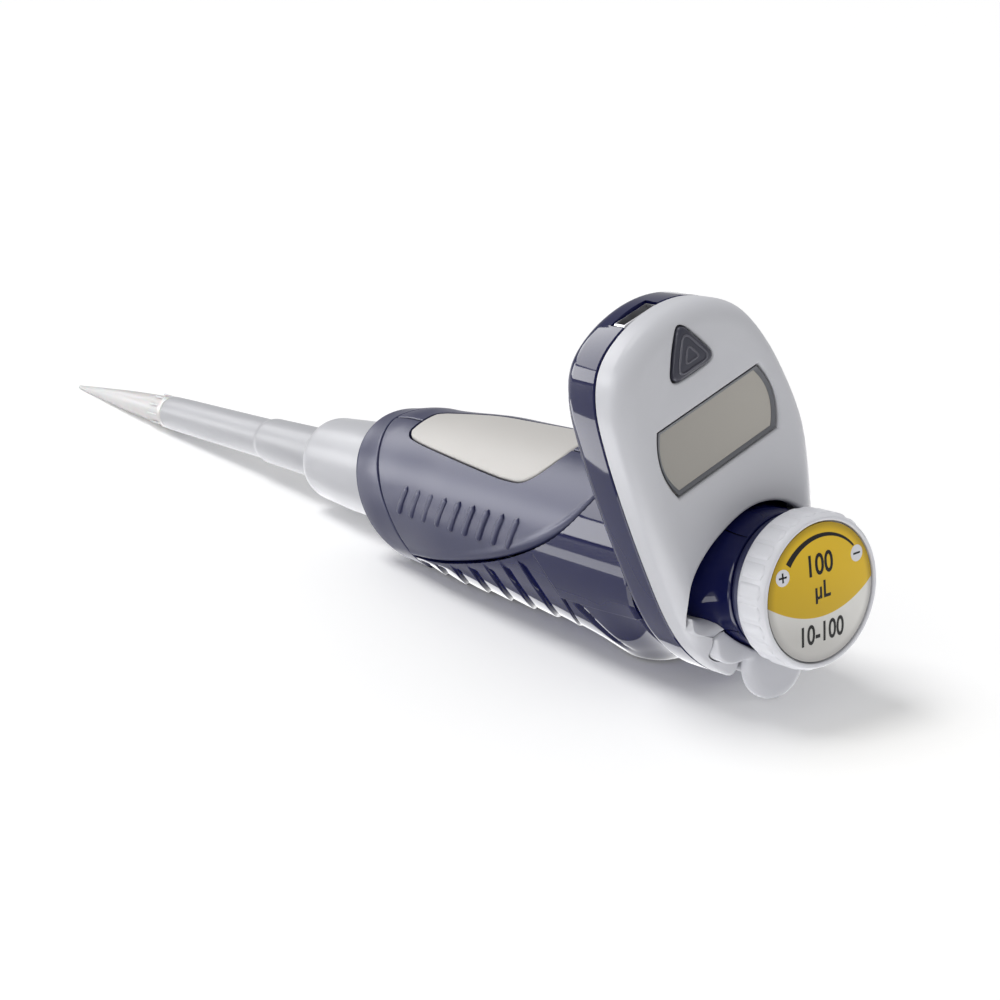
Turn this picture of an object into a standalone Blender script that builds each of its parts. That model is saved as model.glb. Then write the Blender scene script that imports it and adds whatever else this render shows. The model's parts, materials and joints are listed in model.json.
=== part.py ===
"""Electronic micropipette, lying on its side with a disposable tip fitted.

Sizes are in millimetres and become metres when a mesh is made. The pipette is drawn along its own axis:
x runs from the tip's end towards the knob, y points to the side and z points to the display. One parent
empty on that axis then rolls, tilts and seats the whole pipette on the table.
"""

import math

import bmesh
import bpy
from mathutils import Matrix, Vector

MM = 0.001
GAP = 0.3
SLIDE_GAP = 0.4
SHELL_GAP = 0.6
SHARP_ANGLE = 35.0
ROUND_SIDES = 32
SMALL_SIDES = 20

# Pose on the table
ROLL = 20.0

# Disposable tip
TIP_LENGTH = 50.5
TIP_MOUTH_R = 0.45
TIP_RIM_R = 3.95
TIP_RIM_HEIGHT = 2.2
TIP_MID_R = 2.75
TIP_NOSE_R = 1.4
TIP_BORE_R = 0.22
TIP_WALL = 0.6
TIP_GRIP_LENGTH = 9.0

# Liquid end
NOSE_R = 2.35
NOSE_TAPER = 0.25
BARREL_R = 3.2
BARREL_WIDE_R = 4.35
BARREL_FLANGE_R = 7.3
BARREL_FLANGE_LENGTH = 24.0
CHANNEL_R = 0.8
PISTON_R = 2.0
PISTON_STROKE = 16.0
PISTON_HEAD_R = 4.0
SEAL_R = 4.3
SEAL_LENGTH = 4.7
O_RING_LENGTH = 2.0

# Ejector
SLEEVE_LENGTH = 70.0
SLEEVE_FRONT_R = 4.05
SLEEVE_MID_R = 4.6
SLEEVE_REAR_R = 5.65
SLEEVE_STEP = 45.5
SLEEVE_WALL = 0.75
CAP_LENGTH = 60.0
CAP_SHOULDER_R = 9.1
CAP_R = 10.1
CAP_WALL = 1.1
EJECT_TRAVEL = 8.0
EJECTOR_ANGLE = 160.0
ROD_R = 1.2
ROD_OFFSET = 11.2
LUG_LENGTH = 3.0
LUG_WIDTH = 4.0
GUIDE_WIDTH = 6.0
GUIDE_LENGTH = 4.0
STEM_WIDTH = 11.0
STEM_DEPTH = 3.0
LOBE_R = 6.7
LOBE_LIFT = 0.2
LOBE_SINK = 0.7
LOBE_THICKNESS = 3.2

# Handle
COLLAR_LAP = 23.1
COLLAR_SLANT = 8.0
SEAM_SETBACK = 3.0
SEAM_RISE = 15.6
HANDLE_LENGTH = 87.0
HANDLE_WALL = 1.8
COLLAR_R = 14.7
GRIP_FRONT_R = 16.2
GRIP_MID_R = 17.6
GRIP_REAR_R = 17.9
FOOT_REACH = 20.5
REAR_BULGE = 3.4
FOOT_BULGE = 1.2
GRIP_SETBACK = 12.2
PAD_SETBACK = 11.5
PAD_LENGTH = 49.3
PAD_HALF_ANGLE = 32.0
PAD_DEPTH = 1.2
RIB_COUNT = 7
RIB_SETBACK = 17.0
RIB_PITCH = 7.2
RIB_DEPTH = 0.9
RIB_SLANT = 9.0

# Frame tube and drive inside the handle
FRAME_R = 8.6
FRAME_BORE_R = 7.3
SCREW_R = 2.4
NUT_LENGTH = 7.1
NUT_R = 5.0
CARRIER_R = 6.8
MOTOR_R = 6.9
MOTOR_LENGTH = 26.0
PLATE_THICKNESS = 2.0

# Display head
HEAD_BACK_DEPTH = 9.0
HEAD_FRONT_DEPTH = 6.8
HEAD_CLEARANCE = 0.4
HEAD_WALL = 1.7
HEAD_ROUND = 3.2
HEAD_OUTLINE = (
    (0.0, 52.4), (7.4, 50.5), (13.4, 45.8), (17.0, 38.0), (18.8, 28.5), (19.1, 20.0), (17.4, 11.5),
    (15.3, 4.0), (14.6, -4.0), (11.6, -11.2), (5.6, -16.6), (-1.5, -18.2), (-8.0, -16.6),
    (-13.0, -12.9), (-16.8, -6.2), (-18.6, 1.5), (-19.2, 12.0), (-19.3, 23.0), (-18.9, 34.0),
    (-17.7, 42.6), (-14.4, 48.4), (-8.0, 51.6),
)
WINDOW_WIDTH = 26.6
WINDOW_HEIGHT = 12.0
WINDOW_BULGE = 1.6
WINDOW_MID = 29.4
WINDOW_RECESS = 0.9
WINDOW_THICKNESS = 1.4
MODULE_THICKNESS = 2.0
BOARD_THICKNESS = 1.2
BOARD_INSET = 3.2
BOARD_LOW = 15.5
BATTERY_SIZE = (3.9, 23.0, 24.0)
BATTERY_MID = 30.0
SOCKET_WIDTH = 7.8
SOCKET_HEIGHT = 3.0
SOCKET_DEPTH = 7.5
SOCKET_SETBACK = 1.75
SOCKET_SIDE = -2.8
BUTTON_MID = 44.6
BUTTON_SIDE = -1.3
BUTTON_R = 5.2
BUTTON_FLATTEN = 0.34
BUTTON_PROUD = 0.7
BUTTON_TRAVEL = 0.7
DOME_R = 2.5
DOME_HEIGHT = 1.0

# Neck and knob
NECK_R = 12.2
NECK_FLARE_R = 13.6
NECK_FLARE_SHIFT = 2.6
NECK_LENGTH = 7.2
ARCH_R = 13.1
ARCH_SHIFT = 4.6
SPINDLE_R = 4.0
SPINDLE_PIN_R = 3.2
KNOB_R = 13.7
KNOB_LAP = 0.4
KNOB_LENGTH = 6.4
KNOB_RIM = 1.4
KNOB_FLUTES = 30
FLUTE_DEPTH = 0.35
LABEL_THICKNESS = 1.3
PUSH_TRAVEL = 2.5
SWITCH_SIZE = (3.4, 6.0, 6.0)
SPRING_WIRE_R = 0.35
EJECT_SPRING_R = 1.85
KNOB_SPRING_R = 6.4

# Stations along the axis that follow from the sizes above
NOSE_END = TIP_LENGTH - TIP_GRIP_LENGTH
SLEEVE_FRONT = TIP_LENGTH + GAP
SLEEVE_BACK = SLEEVE_FRONT + SLEEVE_LENGTH
STEP_AT = SLEEVE_FRONT + SLEEVE_STEP
CAP_FRONT = SLEEVE_BACK + GAP
CAP_BACK = CAP_FRONT + CAP_LENGTH
FLANGE_FRONT = CAP_FRONT + 5.0
FLANGE_BACK = FLANGE_FRONT + BARREL_FLANGE_LENGTH
SEAL_FRONT = FLANGE_FRONT + 2.2
PISTON_END = STEP_AT + 2.0
FRAME_FRONT = FLANGE_BACK + GAP
CARRIER_FRONT = FRAME_FRONT + 9.2
CARRIER_HOLLOW = CARRIER_FRONT + PLATE_THICKNESS
NUT_FRONT = CARRIER_HOLLOW + PISTON_STROKE + 1.3
CARRIER_BACK = NUT_FRONT + NUT_LENGTH + GAP
SCREW_FRONT = NUT_FRONT + 0.4
BRACKET_FRONT = CARRIER_BACK + PISTON_STROKE + 1.6
MOTOR_FRONT = BRACKET_FRONT + PLATE_THICKNESS + GAP
COLLAR_FRONT = CAP_BACK - COLLAR_LAP
SEAM_START = COLLAR_FRONT - SEAM_SETBACK
HANDLE_REAR = COLLAR_FRONT + HANDLE_LENGTH
GRIP_END = HANDLE_REAR - GRIP_SETBACK
PAD_START = SEAM_START + PAD_SETBACK
PAD_END = PAD_START + PAD_LENGTH
RIB_START = SEAM_START + RIB_SETBACK
HEAD_BACK = HANDLE_REAR + HEAD_CLEARANCE
HEAD_SEAM = HEAD_BACK + HEAD_BACK_DEPTH
HEAD_FRONT = HEAD_SEAM + HEAD_FRONT_DEPTH
NECK_END = HEAD_FRONT + NECK_LENGTH
KNOB_BACK = NECK_END - KNOB_LAP
LABEL_FRONT = KNOB_BACK + KNOB_LENGTH
STEM_FLOOR = NECK_R + 1.2
FOOT_FLOOR = ROD_OFFSET - ROD_R
GUIDE_FRONT = CAP_BACK + 2.5
LOBE_BACK = HEAD_FRONT - LOBE_SINK
TABLE_SLOPE = (FOOT_REACH - TIP_MOUTH_R) / HANDLE_REAR
LOBE_REACH = TIP_MOUTH_R + TABLE_SLOPE * LOBE_BACK - LOBE_LIFT


def finish_of(name, color, roughness, metallic=0.0, alpha=1.0):
    """A Principled material with the colour, roughness and metal of one sort of surface."""
    finish = bpy.data.materials.new(name)
    finish.use_nodes = True
    shader = finish.node_tree.nodes["Principled BSDF"]
    shader.inputs["Base Color"].default_value = (*color, 1.0)
    shader.inputs["Roughness"].default_value = roughness
    shader.inputs["Metallic"].default_value = metallic
    shader.inputs["Alpha"].default_value = alpha
    finish.diffuse_color = (*color, alpha)
    return finish


def lerp(a, b, share):
    return a + (b - a) * share


def smooth_step(low, high, value):
    share = min(1.0, max(0.0, (value - low) / (high - low)))
    return share * share * (3.0 - 2.0 * share)


def polar(x, radius, angle):
    """A point at an angle in degrees from the display side, positive towards the side with the ejector."""
    turn = math.radians(angle)
    return Vector((x, -radius * math.sin(turn), radius * math.cos(turn)))


def catmull_rom(points, steps):
    """A smooth closed curve through the points."""
    curve = []
    count = len(points)
    for index in range(count):
        p0, p1, p2, p3 = (Vector(points[(index + shift) % count]) for shift in (-1, 0, 1, 2))
        for step in range(steps):
            t = step / steps
            blend = 2.0 * p1 + (p2 - p0) * t + (2.0 * p0 - 5.0 * p1 + 4.0 * p2 - p3) * t * t
            blend = blend + (3.0 * p1 - p0 - 3.0 * p2 + p3) * t * t * t
            curve.append(0.5 * blend)
    return curve


def inset(outline, distance):
    """The closed outline moved inwards by a distance. The outline runs clockwise seen from the knob."""
    moved = []
    count = len(outline)
    for index, point in enumerate(outline):
        along = (outline[(index + 1) % count] - outline[index - 1]).normalized()
        moved.append(point + Vector((along.y, -along.x)) * distance)
    return moved


def clipped(outline, low):
    """The part of an outline above a height, closed by a straight edge."""
    kept = []
    count = len(outline)
    for index, point in enumerate(outline):
        after = outline[(index + 1) % count]
        if point.y >= low:
            kept.append(point)
        if (point.y >= low) != (after.y >= low):
            kept.append(point.lerp(after, (low - point.y) / (after.y - point.y)))
    return kept


def box_outline(width, height, middle=0.0):
    half = width / 2
    low, high = middle - height / 2, middle + height / 2
    return [Vector(corner) for corner in ((-half, high), (half, high), (half, low), (-half, low))]


def circle_outline(radius, centre=(0.0, 0.0), sides=ROUND_SIDES):
    turns = (2 * math.pi * index / sides for index in range(sides))
    return [Vector((centre[0] + radius * math.sin(t), centre[1] + radius * math.cos(t))) for t in turns]


def window_outline(grow=0.0):
    """The display window: straight long edges and bowed ends."""
    half_w = WINDOW_WIDTH / 2 + grow
    half_h = WINDOW_HEIGHT / 2 + grow
    steps = 6
    right = []
    for index in range(steps + 1):
        share = 1.0 - 2.0 * index / steps
        bow = WINDOW_BULGE * (1.0 - share * share)
        right.append(Vector((half_w - WINDOW_BULGE + bow, WINDOW_MID + half_h * share)))
    left = [Vector((-point.x, 2 * WINDOW_MID - point.y)) for point in right]
    return right + left


def button_outline(grow=0.0):
    """A triangle with bowed sides and round corners, one corner up."""
    points = []
    for index in range(24):
        turn = 2 * math.pi * index / 24
        reach = BUTTON_R * (1.0 - BUTTON_FLATTEN * (1.0 - math.cos(3 * turn)) / 2) + grow
        points.append(Vector((BUTTON_SIDE + reach * math.sin(turn), BUTTON_MID + reach * math.cos(turn))))
    return points


def add_piece(name, bm, finish, at=(0.0, 0.0, 0.0)):
    """Makes an object on the pipette's axis from a mesh in millimetres, with its origin at a point."""
    bmesh.ops.remove_doubles(bm, verts=bm.verts, dist=0.001)
    bmesh.ops.recalc_face_normals(bm, faces=bm.faces)
    bmesh.ops.transform(bm, matrix=Matrix.Scale(MM, 4) @ Matrix.Translation(-Vector(at)), verts=bm.verts)
    mesh = bpy.data.meshes.new(name)
    bm.to_mesh(mesh)
    bm.free()
    mesh.shade_smooth()
    mesh.set_sharp_from_angle(angle=math.radians(SHARP_ANGLE))
    piece = bpy.data.objects.new(name, mesh)
    bpy.context.collection.objects.link(piece)
    piece.parent = bpy.data.objects["pipette_axis"]
    piece.location = Vector(at) * MM
    if finish:
        mesh.materials.append(finish)
    else:
        piece.hide_render = True
        piece.display_type = "WIRE"
    return piece


def rings_to_mesh(rings, closed_rows, cap_ends):
    """Joins rings of points with faces. A ring with one point is a pole."""
    bm = bmesh.new()
    rows = [[bm.verts.new(point) for point in ring] for ring in rings]
    pairs = list(zip(rows, rows[1:]))
    if closed_rows:
        pairs.append((rows[-1], rows[0]))
    for low, high in pairs:
        sides = max(len(low), len(high))
        for index in range(sides):
            after = (index + 1) % sides
            corners = [low[index % len(low)], low[after % len(low)]]
            corners += [high[after % len(high)], high[index % len(high)]]
            corners = list(dict.fromkeys(corners))
            if len(corners) > 2:
                bm.faces.new(corners)
    if cap_ends:
        bm.faces.new(rows[0])
        bm.faces.new(reversed(rows[-1]))
    return bm


def turned(name, profile, finish, sides=ROUND_SIDES, flute=None, offset=None):
    """A piece turned about the axis from a closed profile of (x, radius) points."""
    rings = []
    for x, radius in profile:
        if radius == 0:
            rings.append([Vector((x, 0.0, 0.0))])
            continue
        ring = []
        for index in range(sides):
            reach = radius - (flute(radius, index) if flute else 0.0)
            ring.append(polar(x, reach, 360.0 * index / sides))
        rings.append(ring)
    bm = rings_to_mesh(rings, profile[0][1] != 0 or profile[-1][1] != 0, False)
    if offset:
        bmesh.ops.translate(bm, verts=bm.verts, vec=offset)
    return add_piece(name, bm, finish)


def stacked(name, layers, finish, at=(0.0, 0.0, 0.0)):
    """A piece made of outlines stacked along the axis: (x, outline) layers with flat ends."""
    rings = [[Vector((x, point.x, point.y)) for point in outline] for x, outline in layers]
    return add_piece(name, rings_to_mesh(rings, False, True), finish, at)


def prism(name, outline, start, end, finish):
    return stacked(name, [(start, outline), (end, outline)], finish)


def block(name, low, high, finish, edge=0.0, angle=None):
    """A box between two corners, with rounded edges, turned about the axis where an angle is given."""
    bm = bmesh.new()
    bmesh.ops.create_cube(bm, size=1.0)
    middle = (Vector(low) + Vector(high)) / 2
    span = Vector(high) - Vector(low)
    bmesh.ops.transform(bm, matrix=Matrix.Diagonal((*span, 1.0)), verts=bm.verts)
    bmesh.ops.translate(bm, verts=bm.verts, vec=middle)
    if edge:
        bmesh.ops.bevel(bm, geom=bm.edges[:], offset=edge, segments=2, profile=0.5, affect="EDGES")
    if angle is not None:
        turn = Matrix.Rotation(math.radians(angle), 4, "X")
        bmesh.ops.transform(bm, matrix=turn, verts=bm.verts)
    return add_piece(name, bm, finish)


def coil(name, radius, start, end, turns, finish, offset=(0.0, 0.0, 0.0)):
    """A compression spring along the axis, with closed ends of its round wire."""
    steps, sides = 8, 5
    count = turns * steps
    first, last = start + SPRING_WIRE_R, end - SPRING_WIRE_R
    rings = []
    for index in range(count + 1):
        turn = 2 * math.pi * index / steps
        x = lerp(first, last, index / count)
        out = Vector((0.0, math.sin(turn), math.cos(turn)))
        centre = Vector((x, 0.0, 0.0)) + out * radius + Vector(offset)
        ring = []
        for side in range(sides):
            around = 2 * math.pi * side / sides
            wire = out * math.cos(around) + Vector((1.0, 0.0, 0.0)) * math.sin(around)
            ring.append(centre + wire * SPRING_WIRE_R)
        rings.append(ring)
    return add_piece(name, rings_to_mesh(rings, False, True), finish)


def cut(piece, *cutters):
    for cutter in cutters:
        change = piece.modifiers.new(cutter.name, "BOOLEAN")
        change.operation = "DIFFERENCE"
        change.solver = "EXACT"
        change.object = cutter


def join(piece, other):
    """Adds a helper's shape to a piece as one body."""
    change = piece.modifiers.new(other.name, "BOOLEAN")
    change.operation = "UNION"
    change.solver = "EXACT"
    change.object = other


def outline_reach(outline, angle):
    """How far an outline reaches from the axis at an angle from the display side."""
    turn = math.radians(angle)
    ray = Vector((-math.sin(turn), math.cos(turn)))
    best = 0.0
    for index, a in enumerate(outline):
        edge = outline[(index + 1) % len(outline)] - a
        across = ray.x * edge.y - ray.y * edge.x
        if abs(across) < 1e-9:
            continue
        reach = (a.x * edge.y - a.y * edge.x) / across
        share = (a.x * ray.y - a.y * ray.x) / across
        if 0.0 <= share <= 1.0:
            best = max(best, reach)
    return best


HEAD = catmull_rom(HEAD_OUTLINE, 2)


def collar_front(angle):
    return COLLAR_FRONT - COLLAR_SLANT * math.cos(math.radians(angle))


def collar_seam(angle):
    """The slanting seam behind the collar: it rises from the top and runs level under the handle."""
    folded = abs((angle + 180.0) % 360.0 - 180.0)
    level, ease = 92.0, 20.0
    past = min(2 * ease, max(0.0, folded - level + ease))
    reach = min(folded, level + ease) - past * past / (4 * ease)
    return SEAM_START + SEAM_RISE * math.hypot(reach, 8.0) / level


def handle_radius(x, angle):
    """The handle's outer surface: a bulging tube that ends on the head's outline.

    Two flats run under it in planes that also touch the tip's mouth, and one of them lies on the table.
    """
    stations = ((COLLAR_FRONT - COLLAR_SLANT, COLLAR_R), (SEAM_START + 8.0, GRIP_FRONT_R),
                (SEAM_START + 33.0, GRIP_MID_R), (HANDLE_REAR - 30.0, GRIP_REAR_R), (HANDLE_REAR, GRIP_REAR_R))
    radius = stations[0][1]
    for (x0, r0), (x1, r1) in zip(stations, stations[1:]):
        if x > x0:
            radius = lerp(r0, r1, smooth_step(x0, x1, x))
    folded = abs((angle + 180.0) % 360.0 - 180.0)
    bulge = REAR_BULGE * smooth_step(95.0, 150.0, folded) + FOOT_BULGE * smooth_step(132.0, 148.0, folded)
    radius += bulge * smooth_step(HANDLE_REAR - 33.0, HANDLE_REAR - 5.0, x)
    head_reach = outline_reach(HEAD, angle) - 0.6
    if folded > 60.0:
        radius = lerp(radius, min(radius, head_reach), smooth_step(HANDLE_REAR - 13.0, HANDLE_REAR, x))
    flat = TIP_MOUTH_R + TABLE_SLOPE * x
    flat /= max(0.2, math.cos(math.radians(folded - EJECTOR_ANGLE)))
    return min(radius, flat)


def grip_edge(x):
    """Half of the angle that the grip halves cover at a station."""
    start = SEAM_START + 12.0
    share = min(1.0, max(0.0, (x - start) / (GRIP_END - start)))
    return 114.0 - 50.0 * share - 24.0 * share ** 4.5 - 20.0 * share ** 20


def rib_lift(x, angle):
    """The gill-like ribs under the handle: each rises slowly and drops at its rear edge."""
    folded = abs((angle + 180.0) % 360.0 - 180.0)
    along = (x - RIB_START + RIB_SLANT * (180.0 - folded) / 60.0) / RIB_PITCH
    if along < 0.0 or along > RIB_COUNT:
        return 0.0
    reach = smooth_step(104.0, 122.0, folded)
    return -RIB_DEPTH * reach * (1.0 - (along % 1.0))


def shell_grid(name, outer, inner, finish, closed=False):
    """A curved plate between an outer and an inner grid of points, closed all round."""
    bm = bmesh.new()
    faces = []
    for surface, flip in ((outer, False), (inner, True)):
        grid = [[bm.verts.new(point) for point in row] for row in surface]
        for low, high in zip(grid, grid[1:]):
            for index in range(len(low) - (0 if closed else 1)):
                after = (index + 1) % len(low)
                corners = [low[index], low[after], high[after], high[index]]
                bm.faces.new(reversed(corners) if flip else corners)
        faces.append(grid)
    top, under = faces
    edges = [(top[0], under[0]), (under[-1], top[-1])]
    if not closed:
        edges.append(([row[-1] for row in top], [row[-1] for row in under]))
        edges.append(([row[0] for row in under], [row[0] for row in top]))
    for a, b in edges:
        for index in range(len(a) - (0 if closed else 1)):
            after = (index + 1) % len(a)
            bm.faces.new((a[index], a[after], b[after], b[index]))
    return add_piece(name, bm, finish)


def grip_grid(side, reach_in, grow=0.0, lead=0.0):
    """Rows of points over one grip half. Side is +1 or -1; a cutter grows all round and leads in front."""
    rows_count, columns = 14, 7
    rows = []
    for row in range(rows_count + 1):
        points = []
        bare_edge = 0.0
        for _ in range(6):
            front = collar_seam(bare_edge) + GAP - lead
            bare_edge = grip_edge(lerp(front, GRIP_END + grow, row / rows_count))
        edge = bare_edge + math.degrees(grow / GRIP_MID_R)
        for column in range(columns + 1):
            share = column / columns
            start_angle = math.degrees((GAP / 2 - grow) / GRIP_MID_R)
            angle = side * lerp(start_angle, edge, share)
            x = lerp(collar_seam(angle) + GAP - lead, GRIP_END + grow, row / rows_count)
            points.append(polar(x, handle_radius(x, angle) - reach_in, angle))
        rows.append(points if side < 0 else points[::-1])
    return rows


def grip_half(name, side, finish, pad_cutter):
    outer = grip_grid(side, 0.0)
    inner = grip_grid(side, HANDLE_WALL)
    piece = shell_grid(name, outer, inner, finish)
    cut(piece, pad_cutter)
    return piece


def pad_half_angle(share):
    """The pad's half width in degrees at a share of its length: narrow and square in front, round behind."""
    widen = lerp(14.0, PAD_HALF_ANGLE, min(1.0, (share / 0.75)) ** 0.55)
    front = math.sqrt(max(0.0, 1.0 - (1.0 - min(1.0, share / 0.06)) ** 2)) * 0.35 + 0.65
    back = math.sqrt(max(0.0, 1.0 - (max(0.0, share - 0.84) / 0.16) ** 2))
    return widen * front * max(0.12, back)


def pad_grid(depth, grow):
    rows_count, columns = 14, 10
    rows = []
    for row in range(rows_count + 1):
        share = (1.0 - math.cos(math.pi * row / rows_count)) / 2
        x = lerp(PAD_START - grow, PAD_END + grow, share)
        half = pad_half_angle(share) + math.degrees(grow / GRIP_MID_R)
        points = []
        for column in range(columns + 1):
            angle = half * (2.0 * column / columns - 1.0)
            points.append(polar(x, handle_radius(x, angle) - depth, angle))
        rows.append(points)
    return rows


def make_tip(finish):
    rim = TIP_LENGTH - TIP_RIM_HEIGHT
    seat = NOSE_END + 0.6
    bore = NOSE_R + GAP
    profile = (
        (0.0, TIP_MOUTH_R), (12.0, TIP_NOSE_R), (30.0, TIP_MID_R), (rim, TIP_RIM_R - 0.25),
        (rim + 0.3, TIP_RIM_R), (TIP_LENGTH, TIP_RIM_R), (TIP_LENGTH, bore + NOSE_TAPER + 0.1),
        (seat, bore), (NOSE_END - 2.0, bore - 0.4), (30.0, TIP_MID_R - TIP_WALL),
        (12.0, TIP_NOSE_R - TIP_WALL), (0.0, TIP_BORE_R),
    )
    turned("pipette_tip", profile, finish, 24)


def make_liquid_end(finishes):
    """The barrel that the tip is pushed onto, with the piston's seals in its wide rear end."""
    step = BARREL_R + 1.1
    profile = (
        (NOSE_END, NOSE_R), (TIP_LENGTH, NOSE_R + NOSE_TAPER), (TIP_LENGTH + 2.0, BARREL_R - 0.2),
        (STEP_AT - 1.0, BARREL_R), (STEP_AT + 1.5, step), (FLANGE_FRONT - 1.0, BARREL_WIDE_R),
        (FLANGE_FRONT, BARREL_FLANGE_R), (FLANGE_BACK, BARREL_FLANGE_R), (FLANGE_BACK, SEAL_R + GAP),
        (SEAL_FRONT, SEAL_R + GAP), (SEAL_FRONT, PISTON_R + GAP), (PISTON_END - 1.0, PISTON_R + GAP),
        (PISTON_END - 2.2, CHANNEL_R), (NOSE_END, CHANNEL_R),
    )
    turned("tip_holder", profile, finishes["white"], 24)
    bore = PISTON_R + GAP
    front = SEAL_FRONT + GAP
    ring_front = front + SEAL_LENGTH + GAP
    bush_front = ring_front + O_RING_LENGTH + GAP
    for name, start, end, finish in (
        ("piston_seal", front, front + SEAL_LENGTH, finishes["seal"]),
        ("seal_retainer", bush_front, FLANGE_BACK - GAP, finishes["steel"]),
    ):
        turned(name, ((start, SEAL_R), (end, SEAL_R), (end, bore), (start, bore)), finish, SMALL_SIDES)
    middle = (SEAL_R + bore) / 2
    ring = (SEAL_R - bore) / 2
    profile = []
    for index in range(6):
        turn = 2 * math.pi * index / 6
        x = ring_front + O_RING_LENGTH / 2 + O_RING_LENGTH / 2 * math.sin(turn)
        profile.append((x, middle + ring * math.cos(turn)))
    turned("seal_o_ring", profile, finishes["rubber"], 16)
    nut_bore = BARREL_FLANGE_R + GAP
    front, back = FLANGE_BACK - 7.0, FRAME_FRONT + 5.0
    profile = ((front, nut_bore + 1.0), (back, nut_bore + 1.0), (back, nut_bore), (front, nut_bore))
    turned("connecting_nut", profile, finishes["steel"], 24)


def make_ejector(finishes):
    """Sleeve, cap, rod and thumb button: one sliding assembly that pushes the tip off."""
    wall = SLEEVE_WALL
    profile = (
        (SLEEVE_FRONT, SLEEVE_FRONT_R), (STEP_AT - 8.0, SLEEVE_MID_R - 0.1), (STEP_AT, SLEEVE_MID_R),
        (STEP_AT + 1.5, SLEEVE_MID_R + 0.55), (SLEEVE_BACK, SLEEVE_REAR_R),
        (SLEEVE_BACK, SLEEVE_REAR_R - wall), (STEP_AT + 1.5, SLEEVE_MID_R + 0.6 - 0.4),
        (STEP_AT - 1.0, SLEEVE_MID_R - wall), (SLEEVE_FRONT, SLEEVE_FRONT_R - wall),
    )
    turned("ejector_sleeve", profile, finishes["lavender"], 28)
    bore = CAP_R - CAP_WALL
    profile = (
        (CAP_FRONT, SLEEVE_REAR_R - 0.1), (CAP_FRONT + 2.6, CAP_SHOULDER_R - 0.5),
        (CAP_FRONT + 4.2, CAP_SHOULDER_R), (CAP_FRONT + 16.0, CAP_R - 0.15), (CAP_FRONT + 30.0, CAP_R),
        (CAP_BACK, CAP_R), (CAP_BACK, bore), (FLANGE_BACK - 10.0, bore),
        (CAP_FRONT + 4.6, CAP_SHOULDER_R - CAP_WALL), (CAP_FRONT + 3.0, BARREL_WIDE_R + SLIDE_GAP + 1.0),
        (CAP_FRONT, BARREL_WIDE_R + SLIDE_GAP),
    )
    cap = turned("ejector_cap", profile, finishes["white"])
    lug_low = (CAP_BACK - LUG_LENGTH, -LUG_WIDTH / 2, CAP_R - 0.5)
    lug_high = (CAP_BACK, LUG_WIDTH / 2, ROD_OFFSET + ROD_R)
    join(cap, block("cap_lug", lug_low, lug_high, None, angle=EJECTOR_ANGLE))
    start, end = CAP_BACK + GAP, HANDLE_REAR + 2.0
    collar = HANDLE_REAR - 40.0
    ring = EJECT_SPRING_R + SPRING_WIRE_R
    profile = (
        (start, 0.0), (start, ROD_R), (collar, ROD_R), (collar, ring), (collar + 2.0, ring),
        (collar + 2.0, ROD_R), (end, ROD_R), (end, 0.0),
    )
    offset = polar(0.0, ROD_OFFSET, EJECTOR_ANGLE)
    turned("ejector_rod", profile, finishes["steel"], 16, offset=offset)
    guide_back = GUIDE_FRONT + GUIDE_LENGTH
    low = (GUIDE_FRONT, -GUIDE_WIDTH / 2, FRAME_R + GAP)
    high = (guide_back, GUIDE_WIDTH / 2, ROD_OFFSET + EJECT_SPRING_R)
    guide = block("rod_guide", low, high, finishes["frame"], edge=0.4, angle=EJECTOR_ANGLE)
    hole = ((GUIDE_FRONT - 2.0, 0.0), (GUIDE_FRONT - 2.0, ROD_R + GAP),
            (guide_back + 2.0, ROD_R + GAP), (guide_back + 2.0, 0.0))
    cut(guide, turned("rod_guide_hole", hole, None, 16, offset=offset))
    coil("ejector_spring", EJECT_SPRING_R, guide_back + GAP, collar - GAP, 5, finishes["steel"], offset)
    make_ejector_button(finishes["white"], end)


def make_ejector_button(finish, rod_end):
    """The thumb piece: a flat stem along the neck that ends in a round lobe beside the knob."""
    top = STEM_FLOOR
    front = rod_end + GAP
    back = LOBE_BACK
    low = (front, -STEM_WIDTH / 2, top)
    high = (back + 1.5, STEM_WIDTH / 2, top + STEM_DEPTH)
    stem = block("ejector_button", low, high, finish, edge=0.8, angle=EJECTOR_ANGLE)
    low = (front, -STEM_WIDTH / 4, FOOT_FLOOR)
    high = (front + 2.6, STEM_WIDTH / 4, top + 1.0)
    join(stem, block("stem_foot", low, high, None, angle=EJECTOR_ANGLE))
    centre = LOBE_REACH - LOBE_R
    turn = math.radians(EJECTOR_ANGLE)
    middle = (-centre * math.sin(turn), centre * math.cos(turn))
    layers = []
    for x, shrink in ((back, 0.6), (back + 0.6, 0.0), (back + LOBE_THICKNESS - 1.0, 0.0),
                      (back + LOBE_THICKNESS - 0.3, 0.4), (back + LOBE_THICKNESS, 1.2)):
        layers.append((x, circle_outline(LOBE_R - shrink, middle, 28)))
    join(stem, stacked("lobe_shape", layers, None))
    room = ((front + 3.6, 0.0), (front + 3.6, top), (back + 9.0, top), (back + 9.0, 0.0))
    cut(stem, turned("lobe_neck_room", room, None))


def ejector_channel(name, start, end, floor, deep=False):
    """Room for the ejector's stem from a floor outwards, or for its lobe where it is deep."""
    width = (2 * LOBE_R if deep else STEM_WIDTH) + 2 * SLIDE_GAP
    low = (start, -width / 2, floor - SLIDE_GAP)
    high = (end, width / 2, LOBE_REACH * 1.5 if deep else STEM_FLOOR + STEM_DEPTH + SLIDE_GAP)
    return block(name, low, high, None, angle=EJECTOR_ANGLE)


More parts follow.
